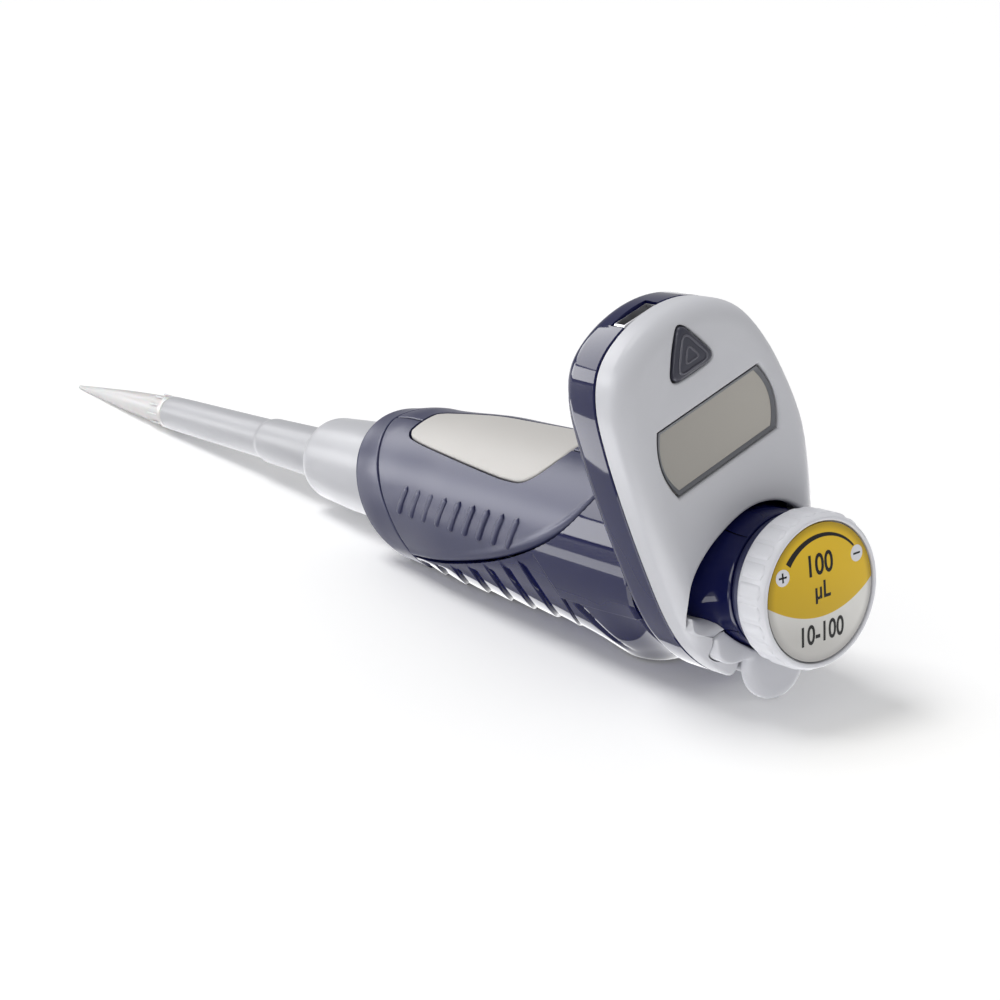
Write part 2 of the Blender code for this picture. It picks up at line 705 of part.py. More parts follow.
def rod_channel(name, start, end, reach):
    """Room inside the handle for the ejector's rod and what it carries, out to a reach."""
    half = GUIDE_WIDTH / 2 + SLIDE_GAP
    low = (start, -half, FOOT_FLOOR)
    high = (end, half, reach + SLIDE_GAP)
    return block(name, low, high, None, angle=EJECTOR_ANGLE)


def make_handle(finishes):
    """Collar, two grip halves, the pad and the ribbed lower shell: thin shells round the frame tube."""
    rows_at = (0.0, 0.12, 0.35, 0.7, 1.0)
    outer, inner = [], []
    lip = COLLAR_R - 1.8
    for index, share in enumerate(rows_at):
        out_row, in_row = [], []
        for step in range(ROUND_SIDES):
            angle = 360.0 * step / ROUND_SIDES
            x = lerp(collar_front(angle), collar_seam(angle), share)
            reach = handle_radius(x, angle)
            out_row.append(polar(x, lip if index == 0 else reach, angle))
            in_row.append(polar(x, CAP_R + SLIDE_GAP + 0.2 if index < 2 else reach - HANDLE_WALL, angle))
        outer.append(out_row)
        inner.append(in_row)
    collar = shell_grid("handle_collar", outer, inner, finishes["satin_blue"], closed=True)
    lug_start = CAP_BACK - LUG_LENGTH - EJECT_TRAVEL - SLIDE_GAP
    lug_room = rod_channel("lug_room", lug_start, GUIDE_FRONT, ROD_OFFSET + ROD_R)
    cut(collar, lug_room)
    pad_cutter = shell_grid("pad_seat", pad_grid(-1.0, GAP), pad_grid(PAD_DEPTH + GAP, GAP), None)
    grip_half("grip_left", 1, finishes["satin_blue"], pad_cutter)
    grip_half("grip_right", -1, finishes["satin_blue"], pad_cutter)
    shell_grid("front_pad", pad_grid(0.0, 0.0), pad_grid(PAD_DEPTH, 0.0), finishes["pad"])
    make_lower_shell(finishes["gloss_blue"], lug_room)


def lower_rows():
    """Stations of the lower shell: three for each rib, and a few for the plain ends."""
    rows = [0.0]
    for rib in range(RIB_COUNT):
        for share in (0.02, 0.5, 0.98):
            rows.append(RIB_START + (rib + share) * RIB_PITCH)
    rows += [RIB_START + RIB_COUNT * RIB_PITCH + 2.0, HANDLE_REAR - 14.0, HANDLE_REAR - 7.0, HANDLE_REAR]
    return rows


def make_lower_shell(finish, lug_room):
    columns = 36
    outer, inner = [], []
    rows = lower_rows()
    for index, station in enumerate(rows):
        out_row, in_row = [], []
        for step in range(columns):
            angle = 360.0 * (step + 0.5) / columns
            folded = abs((angle + 180.0) % 360.0 - 180.0)
            start = collar_seam(angle) + GAP
            if index == 0:
                x = start
            else:
                lean = RIB_SLANT * (180.0 - min(180.0, max(90.0, folded))) / 60.0
                lean *= 1.0 - smooth_step(HANDLE_REAR - 29.0, HANDLE_REAR, station)
                x = max(start + 0.4 * index, station - lean)
            reach = handle_radius(x, angle)
            out_row.append(polar(x, reach + rib_lift(x, angle), angle))
            in_row.append(polar(x, reach - HANDLE_WALL - RIB_DEPTH * smooth_step(104.0, 122.0, folded), angle))
        outer.append(out_row)
        inner.append(in_row)
    shell = shell_grid("lower_shell", outer, inner, finish, closed=True)
    spring_reach = ROD_OFFSET + EJECT_SPRING_R + SPRING_WIRE_R
    spring_room = rod_channel("spring_room", GUIDE_FRONT - SLIDE_GAP, HANDLE_REAR - EJECT_TRAVEL, spring_reach)
    cutters = [lug_room, spring_room]
    for name, side in (("grip_room_left", 1), ("grip_room_right", -1)):
        over = grip_grid(side, -4.0, SHELL_GAP, 4.0)
        under = grip_grid(side, HANDLE_WALL + 4.0, SHELL_GAP, 4.0)
        room = shell_grid(name, over, under, None)
        cutters.append(room)
    stem_start = HANDLE_REAR - EJECT_TRAVEL - 2.0
    cutters.append(ejector_channel("shell_stem_room", stem_start, HANDLE_REAR + 2.0, FOOT_FLOOR))
    cut(shell, *cutters)


def make_frame(finishes):
    """The tube inside the handle that carries the barrel, the drive and the knob's switch."""
    shoulder = FRAME_FRONT + 7.0
    profile = (
        (FRAME_FRONT, BARREL_FLANGE_R), (shoulder, BARREL_FLANGE_R), (shoulder, FRAME_R),
        (HANDLE_REAR - GAP, FRAME_R), (HANDLE_REAR - GAP, FRAME_BORE_R),
        (shoulder + 1.0, FRAME_BORE_R), (shoulder + 1.0, BARREL_FLANGE_R - 1.2),
        (FRAME_FRONT, BARREL_FLANGE_R - 1.2),
    )
    turned("frame_tube", profile, finishes["frame"], 24)
    hole = SCREW_R + SLIDE_GAP
    front = BRACKET_FRONT
    back = front + PLATE_THICKNESS
    reach = FRAME_BORE_R - GAP
    profile = ((front, reach), (back, reach), (back, hole), (front, hole))
    turned("motor_bracket", profile, finishes["steel"], SMALL_SIDES)
    end = MOTOR_FRONT + MOTOR_LENGTH
    profile = (
        (MOTOR_FRONT, 0.0), (MOTOR_FRONT, MOTOR_R - 0.5), (MOTOR_FRONT + 0.5, MOTOR_R), (end, MOTOR_R),
        (end, 3.0), (end + 1.5, 3.0), (end + 1.5, 0.0),
    )
    turned("drive_motor", profile, finishes["steel"], SMALL_SIDES)


def make_drive(finishes):
    """Piston, its carrier and nut, and the lead screw that moves them."""
    foot = CARRIER_FRONT - GAP
    profile = (
        (PISTON_END, 0.0), (PISTON_END, PISTON_R - 0.3), (PISTON_END + 0.3, PISTON_R),
        (foot - PLATE_THICKNESS, PISTON_R), (foot - PLATE_THICKNESS, PISTON_HEAD_R),
        (foot, PISTON_HEAD_R), (foot, 0.0),
    )
    turned("piston_rod", profile, finishes["steel"], SMALL_SIDES)
    bore = SCREW_R + 0.9
    seat = NUT_R + GAP
    profile = (
        (CARRIER_FRONT, 0.0), (CARRIER_FRONT, CARRIER_R), (CARRIER_BACK, CARRIER_R), (CARRIER_BACK, seat),
        (NUT_FRONT - GAP, seat), (NUT_FRONT - GAP, bore), (CARRIER_HOLLOW, bore), (CARRIER_HOLLOW, 0.0),
    )
    turned("piston_carrier", profile, finishes["frame"], SMALL_SIDES)
    hole = SCREW_R + GAP
    end = NUT_FRONT + NUT_LENGTH
    profile = ((NUT_FRONT, NUT_R), (end, NUT_R), (end, hole), (NUT_FRONT, hole))
    turned("drive_nut", profile, finishes["brass"], SMALL_SIDES)
    end = MOTOR_FRONT - GAP
    profile = (
        (SCREW_FRONT, 0.0), (SCREW_FRONT, SCREW_R - 0.4), (SCREW_FRONT + 0.4, SCREW_R), (end, SCREW_R),
        (end, 0.0),
    )
    turned("lead_screw", profile, finishes["steel"], 16)


def make_head(finishes):
    """The display head: a back shell and a bezel that meet at a seam, with the electronics between."""
    back = stacked(
        "head_back_shell",
        [(HEAD_BACK, inset(HEAD, HEAD_ROUND)), (HEAD_BACK + HEAD_ROUND * 0.2, inset(HEAD, HEAD_ROUND * 0.4)),
         (HEAD_BACK + HEAD_ROUND * 0.6, inset(HEAD, HEAD_ROUND * 0.08)), (HEAD_BACK + HEAD_ROUND, HEAD),
         (HEAD_SEAM - GAP / 2, HEAD)],
        finishes["gloss_blue"],
    )
    room_back = HEAD_BACK + HEAD_WALL
    hollow = stacked(
        "back_hollow",
        [(room_back, inset(HEAD, HEAD_WALL + 1.4)), (HEAD_BACK + HEAD_ROUND, inset(HEAD, HEAD_WALL)),
         (HEAD_SEAM + 2.0, inset(HEAD, HEAD_WALL))],
        None,
    )
    tube_hole = circle_outline(FRAME_R + GAP, sides=24)
    passage = prism("frame_passage", tube_hole, HEAD_BACK - 3.0, HEAD_SEAM, None)
    stem_room = ejector_channel("stem_room", HEAD_BACK - 3.0, HEAD_SEAM + 2.0, FOOT_FLOOR)
    lobe_start = LOBE_BACK - EJECT_TRAVEL - SLIDE_GAP
    lobe_room = ejector_channel("lobe_room", lobe_start, HEAD_FRONT + 3.0, NECK_R - 3.0, True)
    middle = HEAD_SEAM - SOCKET_SETBACK
    top = HEAD_OUTLINE[0][1] - GAP
    half_w = SOCKET_WIDTH / 2 + GAP
    half_h = SOCKET_HEIGHT / 2 + GAP
    low = (middle - half_h, SOCKET_SIDE - half_w, top - SOCKET_DEPTH - 1.0)
    high = (middle + half_h, SOCKET_SIDE + half_w, top + 3.0)
    socket_room = block("socket_room", low, high, None)
    cut(back, hollow, passage, stem_room, lobe_room, socket_room)
    make_bezel(finishes["white"], lobe_room)
    make_socket(finishes, middle, top)
    make_display(finishes)


def make_bezel(finish, lobe_room):
    front = HEAD_FRONT
    bezel = stacked(
        "head_bezel",
        [(HEAD_SEAM + GAP / 2, HEAD), (front - 3.4, HEAD), (front - 1.9, inset(HEAD, 0.4)),
         (front - 0.8, inset(HEAD, 1.3)), (front - 0.2, inset(HEAD, 2.6)), (front, inset(HEAD, 4.2))],
        finish,
    )
    hollow = stacked(
        "bezel_hollow",
        [(HEAD_SEAM - 2.0, inset(HEAD, HEAD_WALL)), (front - 3.6, inset(HEAD, HEAD_WALL)),
         (front - HEAD_WALL, inset(HEAD, HEAD_WALL + 1.8))],
        None,
    )
    window_room = prism("window_room", window_outline(GAP), front - 4.0, front + 2.0, None)
    button_room = prism("button_room", button_outline(GAP), front - 4.0, front + 2.0, None)
    arch = []
    for index in range(ROUND_SIDES):
        turn = 2 * math.pi * index / ROUND_SIDES
        w, q = ARCH_R * math.sin(turn), ARCH_R * math.cos(turn)
        shift = smooth_step(0.0, -ARCH_R, w) * ARCH_SHIFT
        arch.append(Vector((w - shift, q)))
    arch_room = prism("arch_room", arch, HEAD_SEAM - 2.0, front + 2.0, None)
    cut(bezel, hollow, window_room, button_room, arch_room, lobe_room)


def make_socket(finishes, middle, top):
    """The charging socket in the head's upper edge, open towards the top."""
    half_w, half_h = SOCKET_WIDTH / 2, SOCKET_HEIGHT / 2
    low = (middle - half_h, SOCKET_SIDE - half_w, top - SOCKET_DEPTH)
    high = (middle + half_h, SOCKET_SIDE + half_w, top - 0.9)
    socket = block("usb_socket", low, high, finishes["steel"], edge=0.3)
    wall = 0.45
    inner_low = (low[0] + wall, low[1] + wall, top - SOCKET_DEPTH + 1.5)
    inner_high = (high[0] - wall, high[1] - wall, top + 2.0)
    cut(socket, block("socket_mouth", inner_low, inner_high, None))


def make_display(finishes):
    """Window, display module, circuit board, battery, select button and its dome switch."""
    window_front = HEAD_FRONT - WINDOW_RECESS
    window_back = window_front - WINDOW_THICKNESS
    prism("display_window", window_outline(), window_back, window_front, finishes["lcd"])
    module_back = window_back - GAP - MODULE_THICKNESS
    module = box_outline(WINDOW_WIDTH + 1.6, WINDOW_HEIGHT + 3.2, WINDOW_MID)
    prism("display_module", module, module_back, module_back + MODULE_THICKNESS, finishes["module"])
    board_front = module_back - GAP
    board_back = board_front - BOARD_THICKNESS
    board = clipped(inset(HEAD, BOARD_INSET), BOARD_LOW)
    prism("main_board", board, board_back, board_front, finishes["board"])
    depth, width, height = BATTERY_SIZE
    battery_front = board_back - GAP
    low = (battery_front - depth, -width / 2, BATTERY_MID - height / 2)
    high = (battery_front, width / 2, BATTERY_MID + height / 2)
    block("battery_cell", low, high, finishes["cell"], edge=0.6)
    dome_back = board_front + GAP
    profile = (
        (dome_back, 0.0), (dome_back, DOME_R), (dome_back + DOME_HEIGHT * 0.5, DOME_R * 0.85),
        (dome_back + DOME_HEIGHT, DOME_R * 0.4), (dome_back + DOME_HEIGHT, 0.0),
    )
    turned("button_dome", profile, finishes["steel"], 16, offset=Vector((0.0, BUTTON_SIDE, BUTTON_MID)))
    back = dome_back + DOME_HEIGHT + BUTTON_TRAVEL + GAP
    front = HEAD_FRONT + BUTTON_PROUD
    layers = [(back, button_outline()), (front - 0.5, button_outline()), (front - 0.1, button_outline(-0.35)),
              (front, button_outline(-0.9))]
    stacked("select_button", layers, finishes["slate"], at=(front, BUTTON_SIDE, BUTTON_MID))


def make_neck(finishes):
    """The flared neck that carries the knob's spindle, with the spring in its mouth."""
    start = HEAD_SEAM - 1.2
    flare = NECK_END - 3.6 - start
    seat = NECK_END - 5.5
    rings = []
    for x, radius, shift in (
        (start, NECK_FLARE_R, NECK_FLARE_SHIFT),
        (start + flare * 0.35, NECK_FLARE_R - 0.3, NECK_FLARE_SHIFT * 0.75),
        (start + flare * 0.65, NECK_FLARE_R - 1.0, NECK_FLARE_SHIFT * 0.2),
        (start + flare, NECK_R, 0.0), (NECK_END, NECK_R, 0.0), (NECK_END, KNOB_SPRING_R + 1.0, 0.0),
        (seat, KNOB_SPRING_R + 1.0, 0.0), (seat, SPINDLE_R + SLIDE_GAP, 0.0), (start, SPINDLE_R + SLIDE_GAP, 0.0),
    ):
        ring = [polar(x, radius, 360.0 * step / ROUND_SIDES) for step in range(ROUND_SIDES)]
        rings.append([point - Vector((0.0, shift, 0.0)) for point in ring])
    neck = add_piece("neck_shell", rings_to_mesh(rings, True, False), finishes["gloss_blue"])
    stem_room = ejector_channel("neck_stem_room", start - 3.0, HEAD_FRONT + 3.0, STEM_FLOOR)
    cut(neck, stem_room, ejector_channel("neck_lobe_room", start - 3.0, LOBE_BACK, NECK_R - 1.0, True))
    spring_front = NECK_END + PUSH_TRAVEL
    coil("knob_spring", KNOB_SPRING_R, seat + GAP, spring_front, 4, finishes["steel"])
    return spring_front + GAP


def make_knob(finishes, web_back):
    """Fluted ring with its label disc on a spindle that presses the switch behind it."""
    front = LABEL_FRONT
    skirt = NECK_R + SLIDE_GAP
    web_front = front - LABEL_THICKNESS
    rim = KNOB_R - KNOB_RIM

    def flute(radius, index):
        return FLUTE_DEPTH if index % 2 and radius >= KNOB_R else 0.0

    profile = (
        (KNOB_BACK, KNOB_R - 0.4), (KNOB_BACK + 0.5, KNOB_R), (front - 1.0, KNOB_R), (front, KNOB_R - 0.7),
        (front, rim), (web_front, rim), (web_front, SPINDLE_PIN_R + GAP),
        (web_back, SPINDLE_PIN_R + GAP), (web_back, skirt), (KNOB_BACK, skirt),
    )
    turned("knob_ring", profile, finishes["white"], KNOB_FLUTES * 2, flute)
    disc = rim - GAP
    back = web_front + GAP
    profile = (
        (back, 0.0), (back, disc), (back + 0.8, disc), (back + 1.1, disc - 0.8), (back + 1.3, disc - 3.0),
        (back + 1.35, 0.0),
    )
    turned("knob_label", profile, finishes["label"])
    inner = HANDLE_REAR + 2.4
    profile = (
        (inner, 0.0), (inner, SPINDLE_R), (web_back - 1.2, SPINDLE_R), (web_back - 1.2, SPINDLE_PIN_R),
        (web_front, SPINDLE_PIN_R), (web_front, 0.0),
    )
    turned("push_spindle", profile, finishes["frame"], SMALL_SIDES)
    depth, width, height = SWITCH_SIZE
    top = inner - PUSH_TRAVEL - GAP
    low = (top - depth, -width / 2, -height / 2)
    high = (top, width / 2, height / 2)
    block("push_switch", low, high, finishes["module"], edge=0.4)
    board = top - depth - GAP
    profile = ((board - BOARD_THICKNESS, 0.0), (board - BOARD_THICKNESS, FRAME_BORE_R - GAP),
               (board, FRAME_BORE_R - GAP), (board, 0.0))
    turned("switch_board", profile, finishes["board"], SMALL_SIDES)


def make_finishes():
    """One material for each sort of surface, with its colour, roughness and metal."""
    table = (
        ("tip", (0.88, 0.88, 0.86), 0.35, 0.0, 0.7), ("white", (0.86, 0.87, 0.9), 0.35, 0.0, 1.0),
        ("lavender", (0.84, 0.85, 0.93), 0.4, 0.0, 1.0), ("satin_blue", (0.09, 0.1, 0.2), 0.42, 0.0, 1.0),
        ("gloss_blue", (0.03, 0.03, 0.12), 0.12, 0.0, 1.0), ("pad", (0.78, 0.77, 0.74), 0.6, 0.0, 1.0),
        ("lcd", (0.4, 0.38, 0.35), 0.25, 0.0, 1.0), ("slate", (0.1, 0.11, 0.17), 0.45, 0.0, 1.0),
        ("label", (0.85, 0.65, 0.08), 0.2, 0.0, 1.0), ("steel", (0.6, 0.6, 0.62), 0.3, 1.0, 1.0),
        ("brass", (0.7, 0.52, 0.2), 0.3, 1.0, 1.0), ("frame", (0.12, 0.12, 0.13), 0.5, 0.0, 1.0),
        ("seal", (0.9, 0.9, 0.88), 0.4, 0.0, 1.0), ("rubber", (0.03, 0.03, 0.03), 0.7, 0.0, 1.0),
        ("module", (0.15, 0.16, 0.17), 0.4, 0.0, 1.0), ("board", (0.03, 0.22, 0.1), 0.45, 0.0, 1.0),
        ("cell", (0.55, 0.57, 0.6), 0.35, 0.6, 1.0),
    )
    return {name: finish_of(name, color, rough, metal, alpha) for name, color, rough, metal, alpha in table}


def lay_down(axis):
    """Rolls and tilts the pipette so that the tip and one flat touch the table, centred on the origin."""
    tilt = math.atan(TABLE_SLOPE)
    axis.rotation_euler = (Matrix.Rotation(-tilt, 4, "Y") @ Matrix.Rotation(math.radians(ROLL), 4, "X")).to_euler()
    bpy.context.view_layer.update()
    graph = bpy.context.evaluated_depsgraph_get()
    corners = []
    for piece in axis.children:
        if not piece.hide_render:
            shape = piece.evaluated_get(graph)
            corners += [shape.matrix_world @ vertex.co for vertex in shape.data.vertices]
    middle = [(min(c[i] for c in corners) + max(c[i] for c in corners)) / 2 for i in (0, 1)]
    axis.location = (-middle[0], -middle[1], -min(corner.z for corner in corners))
    bpy.context.view_layer.update()


def main():
    for item in list(bpy.data.objects):
        bpy.data.objects.remove(item, do_unlink=True)
    axis = bpy.data.objects.new("pipette_axis", None)
    bpy.context.collection.objects.link(axis)
    finishes = make_finishes()
    make_tip(finishes["tip"])
    make_liquid_end(finishes)
    make_ejector(finishes)
    make_handle(finishes)
    make_frame(finishes)
    make_drive(finishes)
    make_head(finishes)
    web_back = make_neck(finishes)
    make_knob(finishes, web_back)
    lay_down(axis)


main()
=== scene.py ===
"""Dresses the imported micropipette: smooth moulded shells, finishes, label, stage and camera.

Lengths in the shape code are millimetres in the pipette's own frame: x runs from the tip's end to the knob,
y to the far side and z towards the display. Angles there are degrees from the display's side. One matrix
lays that frame down on the table, in metres.
"""

import json
import math

import bmesh
import bpy
from mathutils import Matrix, Vector
from mathutils.geometry import intersect_line_line_2d


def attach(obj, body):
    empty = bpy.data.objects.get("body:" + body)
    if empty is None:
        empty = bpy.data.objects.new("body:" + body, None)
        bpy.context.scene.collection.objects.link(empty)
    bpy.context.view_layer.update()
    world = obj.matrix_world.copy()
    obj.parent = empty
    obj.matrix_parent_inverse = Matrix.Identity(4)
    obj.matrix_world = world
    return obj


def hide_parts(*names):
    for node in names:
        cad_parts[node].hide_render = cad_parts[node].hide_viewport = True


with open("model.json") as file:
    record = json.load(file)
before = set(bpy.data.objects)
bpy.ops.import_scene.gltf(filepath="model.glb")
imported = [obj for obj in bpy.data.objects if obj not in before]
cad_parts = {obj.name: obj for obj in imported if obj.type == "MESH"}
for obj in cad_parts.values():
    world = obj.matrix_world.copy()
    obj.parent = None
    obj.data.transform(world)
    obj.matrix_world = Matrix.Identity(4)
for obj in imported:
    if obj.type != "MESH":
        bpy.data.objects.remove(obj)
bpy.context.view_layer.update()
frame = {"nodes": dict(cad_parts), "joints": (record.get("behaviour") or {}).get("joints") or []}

bl_info = {
    "name": "Micropipette dresser",
    "version": (1, 0, 0),
    "blender": (4, 5, 0),
    "location": "3D View > Sidebar > Pipette",
    "description": "Builds the visible shells, finishes and stage of an electronic micropipette",
    "category": "Object",
}

MM = 0.001
GAP = 0.3
SLIDE_GAP = 0.4
JOINTS = {joint["name"]: joint for joint in frame["joints"]}
FORWARD = Vector(JOINTS["knob_turn"]["axis"]).normalized()
ROLL = math.radians(20.0)

# Tip, sleeve and cap
TIP_LENGTH = 50.5
TIP_MOUTH_R = 0.45
TIP_FINE_END = 12.0
TIP_TAPER_END = 30.0
TIP_SEAT = 42.1
TIP_RIM = TIP_LENGTH - 2.2
TIP_RIM_R = 3.95
SLEEVE_FRONT = 50.8
SLEEVE_BACK = 120.8
SLEEVE_FRONT_R = 4.05
SLEEVE_BACK_R = 5.65
SLEEVE_WALL = 0.75
STEP_FRONT = 96.3
STEP_BACK = STEP_FRONT + 1.5
CAP_FRONT = 121.1
CAP_BACK = 181.1
CAP_R = 10.1
CAP_BORE = 9.0
CAP_BORE_END = 140.4
LUG_LENGTH = 3.0
LUG_REACH = 12.4

# Ejector's rod, stem and lobe, at an angle from the display's side
EJECTOR_ANGLE = 160.0
EJECT_TRAVEL = 8.0
ROD_FLOOR = 10.0
ROD_ROOM_HALF = 3.4
SPRING_REACH = 13.4
STEM_FLOOR = 13.4
STEM_DEPTH = 3.0
STEM_HALF = 5.5
LOBE_BACK = 260.5
LOBE_R = 6.7

# Handle: collar, grips, pad, ribs and the rear panel of the lower shell
COLLAR_FRONT = 158.0
COLLAR_SLANT = 8.0
COLLAR_LIP = CAP_R + 0.6
GROOVE_DEPTH = 0.28
# The groove's place and width, and the rows of points, are shares of the collar's length
COLLAR_GROOVE = 0.12
GROOVE_WIDTH = 0.014
COLLAR_ROWS = (
    0.0, 0.02, 0.04, 0.06, 0.08, 0.095, 0.105, 0.115, 0.125, 0.135, 0.145, 0.16, 0.2, 0.27, 0.36, 0.48,
    0.6, 0.72, 0.82, 0.9, 0.945, 0.97, 0.985, 1.0,
)
SEAM_START = 155.0
SEAM_RISE = 15.6
SEAM_LEVEL = 92.0
SEAM_EASE = 20.0
HANDLE_REAR = 245.0
HANDLE_WALL = 1.8
COLLAR_R = 14.7
GRIP_FRONT_R = 16.2
GRIP_MID_R = 17.6
GRIP_REAR_R = 17.9
FOOT_REACH = 20.5
REAR_BULGE = 3.4
REAR_BULGE_ANGLES = (95.0, 150.0)
FOOT_BULGE = 1.2
FOOT_BULGE_ANGLES = (132.0, 148.0)
BULGE_RUN = (HANDLE_REAR - 33.0, HANDLE_REAR - 5.0)
FAR_SIDE_SHRINK = 0.22
FAR_SIDE_ANGLES = (180.0, 230.0)
HEAD_MEETS = HANDLE_REAR - 13.0
GRIP_START = SEAM_START + 12.0
GRIP_END = 232.8
GRIP_COVER = 114.0
GRIP_NARROWING = 50.0
GRIP_SWEEP = 24.0
GRIP_TAIL = 20.0
PAD_START = 166.5
PAD_END = 215.8
PAD_FRONT_ANGLE = 14.0
PAD_HALF_ANGLE = 32.0
PAD_DEPTH = 1.2
RIB_START = 172.8
RIB_CROWN = 104.0
RIB_TURN = 132.0
RIB_CURVE = 0.0052
RIB_SLOPE = 0.29
RIB_EASE = 0.003
SHELL_EDGE = 97.0
RIB_CREST = 0.28
RIB_ROWS = (0.01, 0.2, 0.4, 0.6, 0.8, 0.93, 0.96, 0.98, 0.995)
PANEL_STEP = 0.35
LEDGE_DEPTH = 0.55
LEDGE_ANGLES = (SHELL_EDGE - 0.4, SHELL_EDGE + 0.8)
RECESS_MID = 227.5
RECESS_MID_ANGLE = 102.5
RECESS_LEAN = 0.235
RECESS_DEPTH = 1.2
RECESS_HALF_WIDTH = 0.9
RECESS_TOP = (99.0, 102.0)
RECESS_BOTTOM = (124.0, 134.0)
BEAD_HEIGHT = 0.22
BEAD_INSET = 1.4
BEAD_WIDTH = 0.55
BARS_START = 174.0
BARS_END = 211.5
BARS_ANGLE = 63.0

# Display head: the outline's points are across and up, seen from the knob
HEAD_FRONT = 261.2
HEAD_SEAM = 254.4
HEAD_BACK = 245.4
HEAD_WALL = 1.7
HEAD_ROUND = 3.2
BEZEL_ROUND = 3.4
BEZEL_SLOPE = 4.2
HEAD_OUTLINE = (
    (0.0, 52.4), (7.4, 50.5), (13.4, 45.8), (17.0, 38.0), (18.8, 28.5), (19.1, 20.0), (17.4, 11.5),
    (15.3, 4.0), (14.6, -4.0), (11.6, -11.2), (5.6, -16.6), (-1.5, -18.2), (-8.0, -16.6),
    (-13.0, -12.9), (-16.8, -6.2), (-18.6, 1.5), (-19.2, 12.0), (-19.3, 23.0), (-18.9, 34.0),
    (-17.7, 42.6), (-14.4, 48.4), (-8.0, 51.6),
)
SEAM_BEVEL = 0.18
WINDOW_WIDTH = 26.6
WINDOW_HEIGHT = 12.0
WINDOW_BULGE = 1.6
WINDOW_MID = 29.4
BUTTON_MID = 44.6
BUTTON_SIDE = -1.3
BUTTON_R = 5.2
BUTTON_INSIDE = 0.61
BUTTON_CORNERS = 3.2
KEY_BACK = HEAD_FRONT - 4.0
KEY_RISE = 0.7
SOCKET_MID = HEAD_SEAM - 1.75
SOCKET_SIDE = -2.8
SOCKET_TOP = HEAD_OUTLINE[0][1] - GAP

# Neck, its flare and the saddle, whose seam is given as angle and station
NECK_R = 12.2
NECK_CORE = 8.9
NECK_END = 268.4
NECK_BORE = 4.4
SPRING_SEAT_R = 7.4
ARCH_R = 13.1
ARCH_SHIFT = 4.6
FLARE_R = 13.6
FLARE_START = HEAD_SEAM - 1.2
FLARE_END = HEAD_FRONT + 3.6
FLARE_SHIFT = 2.6
SADDLE_START = 103.0
SADDLE_END = 203.0
SADDLE_TOP_R = 15.0
SADDLE_SIDE_R = 17.0
SADDLE_LOW_R = 14.4
SADDLE_BACK = HEAD_SEAM + 2.6
RIDGE_TOP_R = 14.9
RIDGE_LOW_R = 12.7
LIP_START = 87.0
SADDLE_SEAM = (
    (84.0, 255.2), (87.8, 257.1), (90.5, 258.7), (93.2, 259.7), (97.3, 260.85), (102.0, 261.45),
    (108.0, 261.9), (114.0, 262.35), (119.0, 262.8), (124.0, 263.4),
)

# Knob and label
KNOB_BACK = 268.0
KNOB_FRONT = 274.4
KNOB_R = 13.7
KNOB_RIM = 1.4
KNOB_WEB = 271.2
KNOB_BORE = 3.5
LABEL_TURN = math.radians(18.0)
LABEL_RISE = 0.31
LABEL_CURVE = 132.0
LABEL_BORDER = 4.05
LABEL_BORDER_BOW = 0.028
SIGN_R = 9.8
SIGN_DISC_R = 1.45
ARC_R = 10.3

# The mouth of the tip and the foot of the handle touch the table
TABLE_SLOPE = (FOOT_REACH - TIP_MOUTH_R) / HANDLE_REAR

# Lamps, in metres: a box's place, target, size and brightness. The cards lie on the floor and face up
MAIN_PLACE = (-0.38, -0.28, 1.0)
MAIN_WIDTH = 24.0
MIDDLE = (0.0, 0.0, 0.03)
LAMP_BOXES = (
    ("side_box", (-0.85, -0.72, 0.215), MIDDLE, (0.8, 0.31), 10.5),
    ("back_box", (-0.88, -0.3, 0.62), MIDDLE, (0.8, 0.5), 7.0),
    ("under_card", (0.04, 0.095, 0.0008), (0.04, 0.095, 1.0), (0.26, 0.2), 1.6),
    ("neck_box", (-0.1, -0.95, 0.28), (0.127, 0.0, 0.03), (0.9, 0.45), 6.0),
    ("neck_card", (0.139, -0.036, 0.0008), (0.139, -0.036, 1.0), (0.052, 0.046), 5.0),
    ("side_card", (0.02, -0.066, 0.0008), (0.02, -0.066, 1.0), (0.16, 0.035), 5.0),
)

# Camera: place in metres, turn and dip in degrees and lens in millimetres, fitted at FITTED_SLOPE
CAMERA_PLACE = (0.5315, -0.2605, 0.1557)
CAMERA_TURN = 53.2
CAMERA_DIP = 17.8
CAMERA_LENS = 82.8
FITTED_SLOPE = math.radians(4.8)


def lay_down_matrix():
    """From millimetres in the pipette's frame to metres on the table."""
    lift = Vector((-FORWARD.z, 0.0, FORWARD.x))
    across = Vector((0.0, 1.0, 0.0))
    side = across * math.cos(ROLL) + lift * math.sin(ROLL)
    top = lift * math.cos(ROLL) - across * math.sin(ROLL)
    turn = Matrix((FORWARD, side, top)).transposed().to_4x4()
    start = Vector(JOINTS["knob_turn"]["pos_m"]) - FORWARD * KNOB_BACK * MM
    return Matrix.Translation(start) @ turn @ Matrix.Scale(MM, 4)


LAY = lay_down_matrix()


def length_setting(name, description, default):
    """A length in metres that a user can change."""
    return bpy.props.FloatProperty(
        name=name, description=description, default=default, subtype="DISTANCE", unit="LENGTH")


def colour_setting(name, description, default):
    """A colour that a user can change."""
    return bpy.props.FloatVectorProperty(
        name=name, description=description, default=default, subtype="COLOR", size=3, min=0.0, max=1.0)


def strength_setting(name, description, default):
    """A lamp's or the sky's strength that a user can change."""
    return bpy.props.FloatProperty(name=name, description=description, default=default, min=0.0)


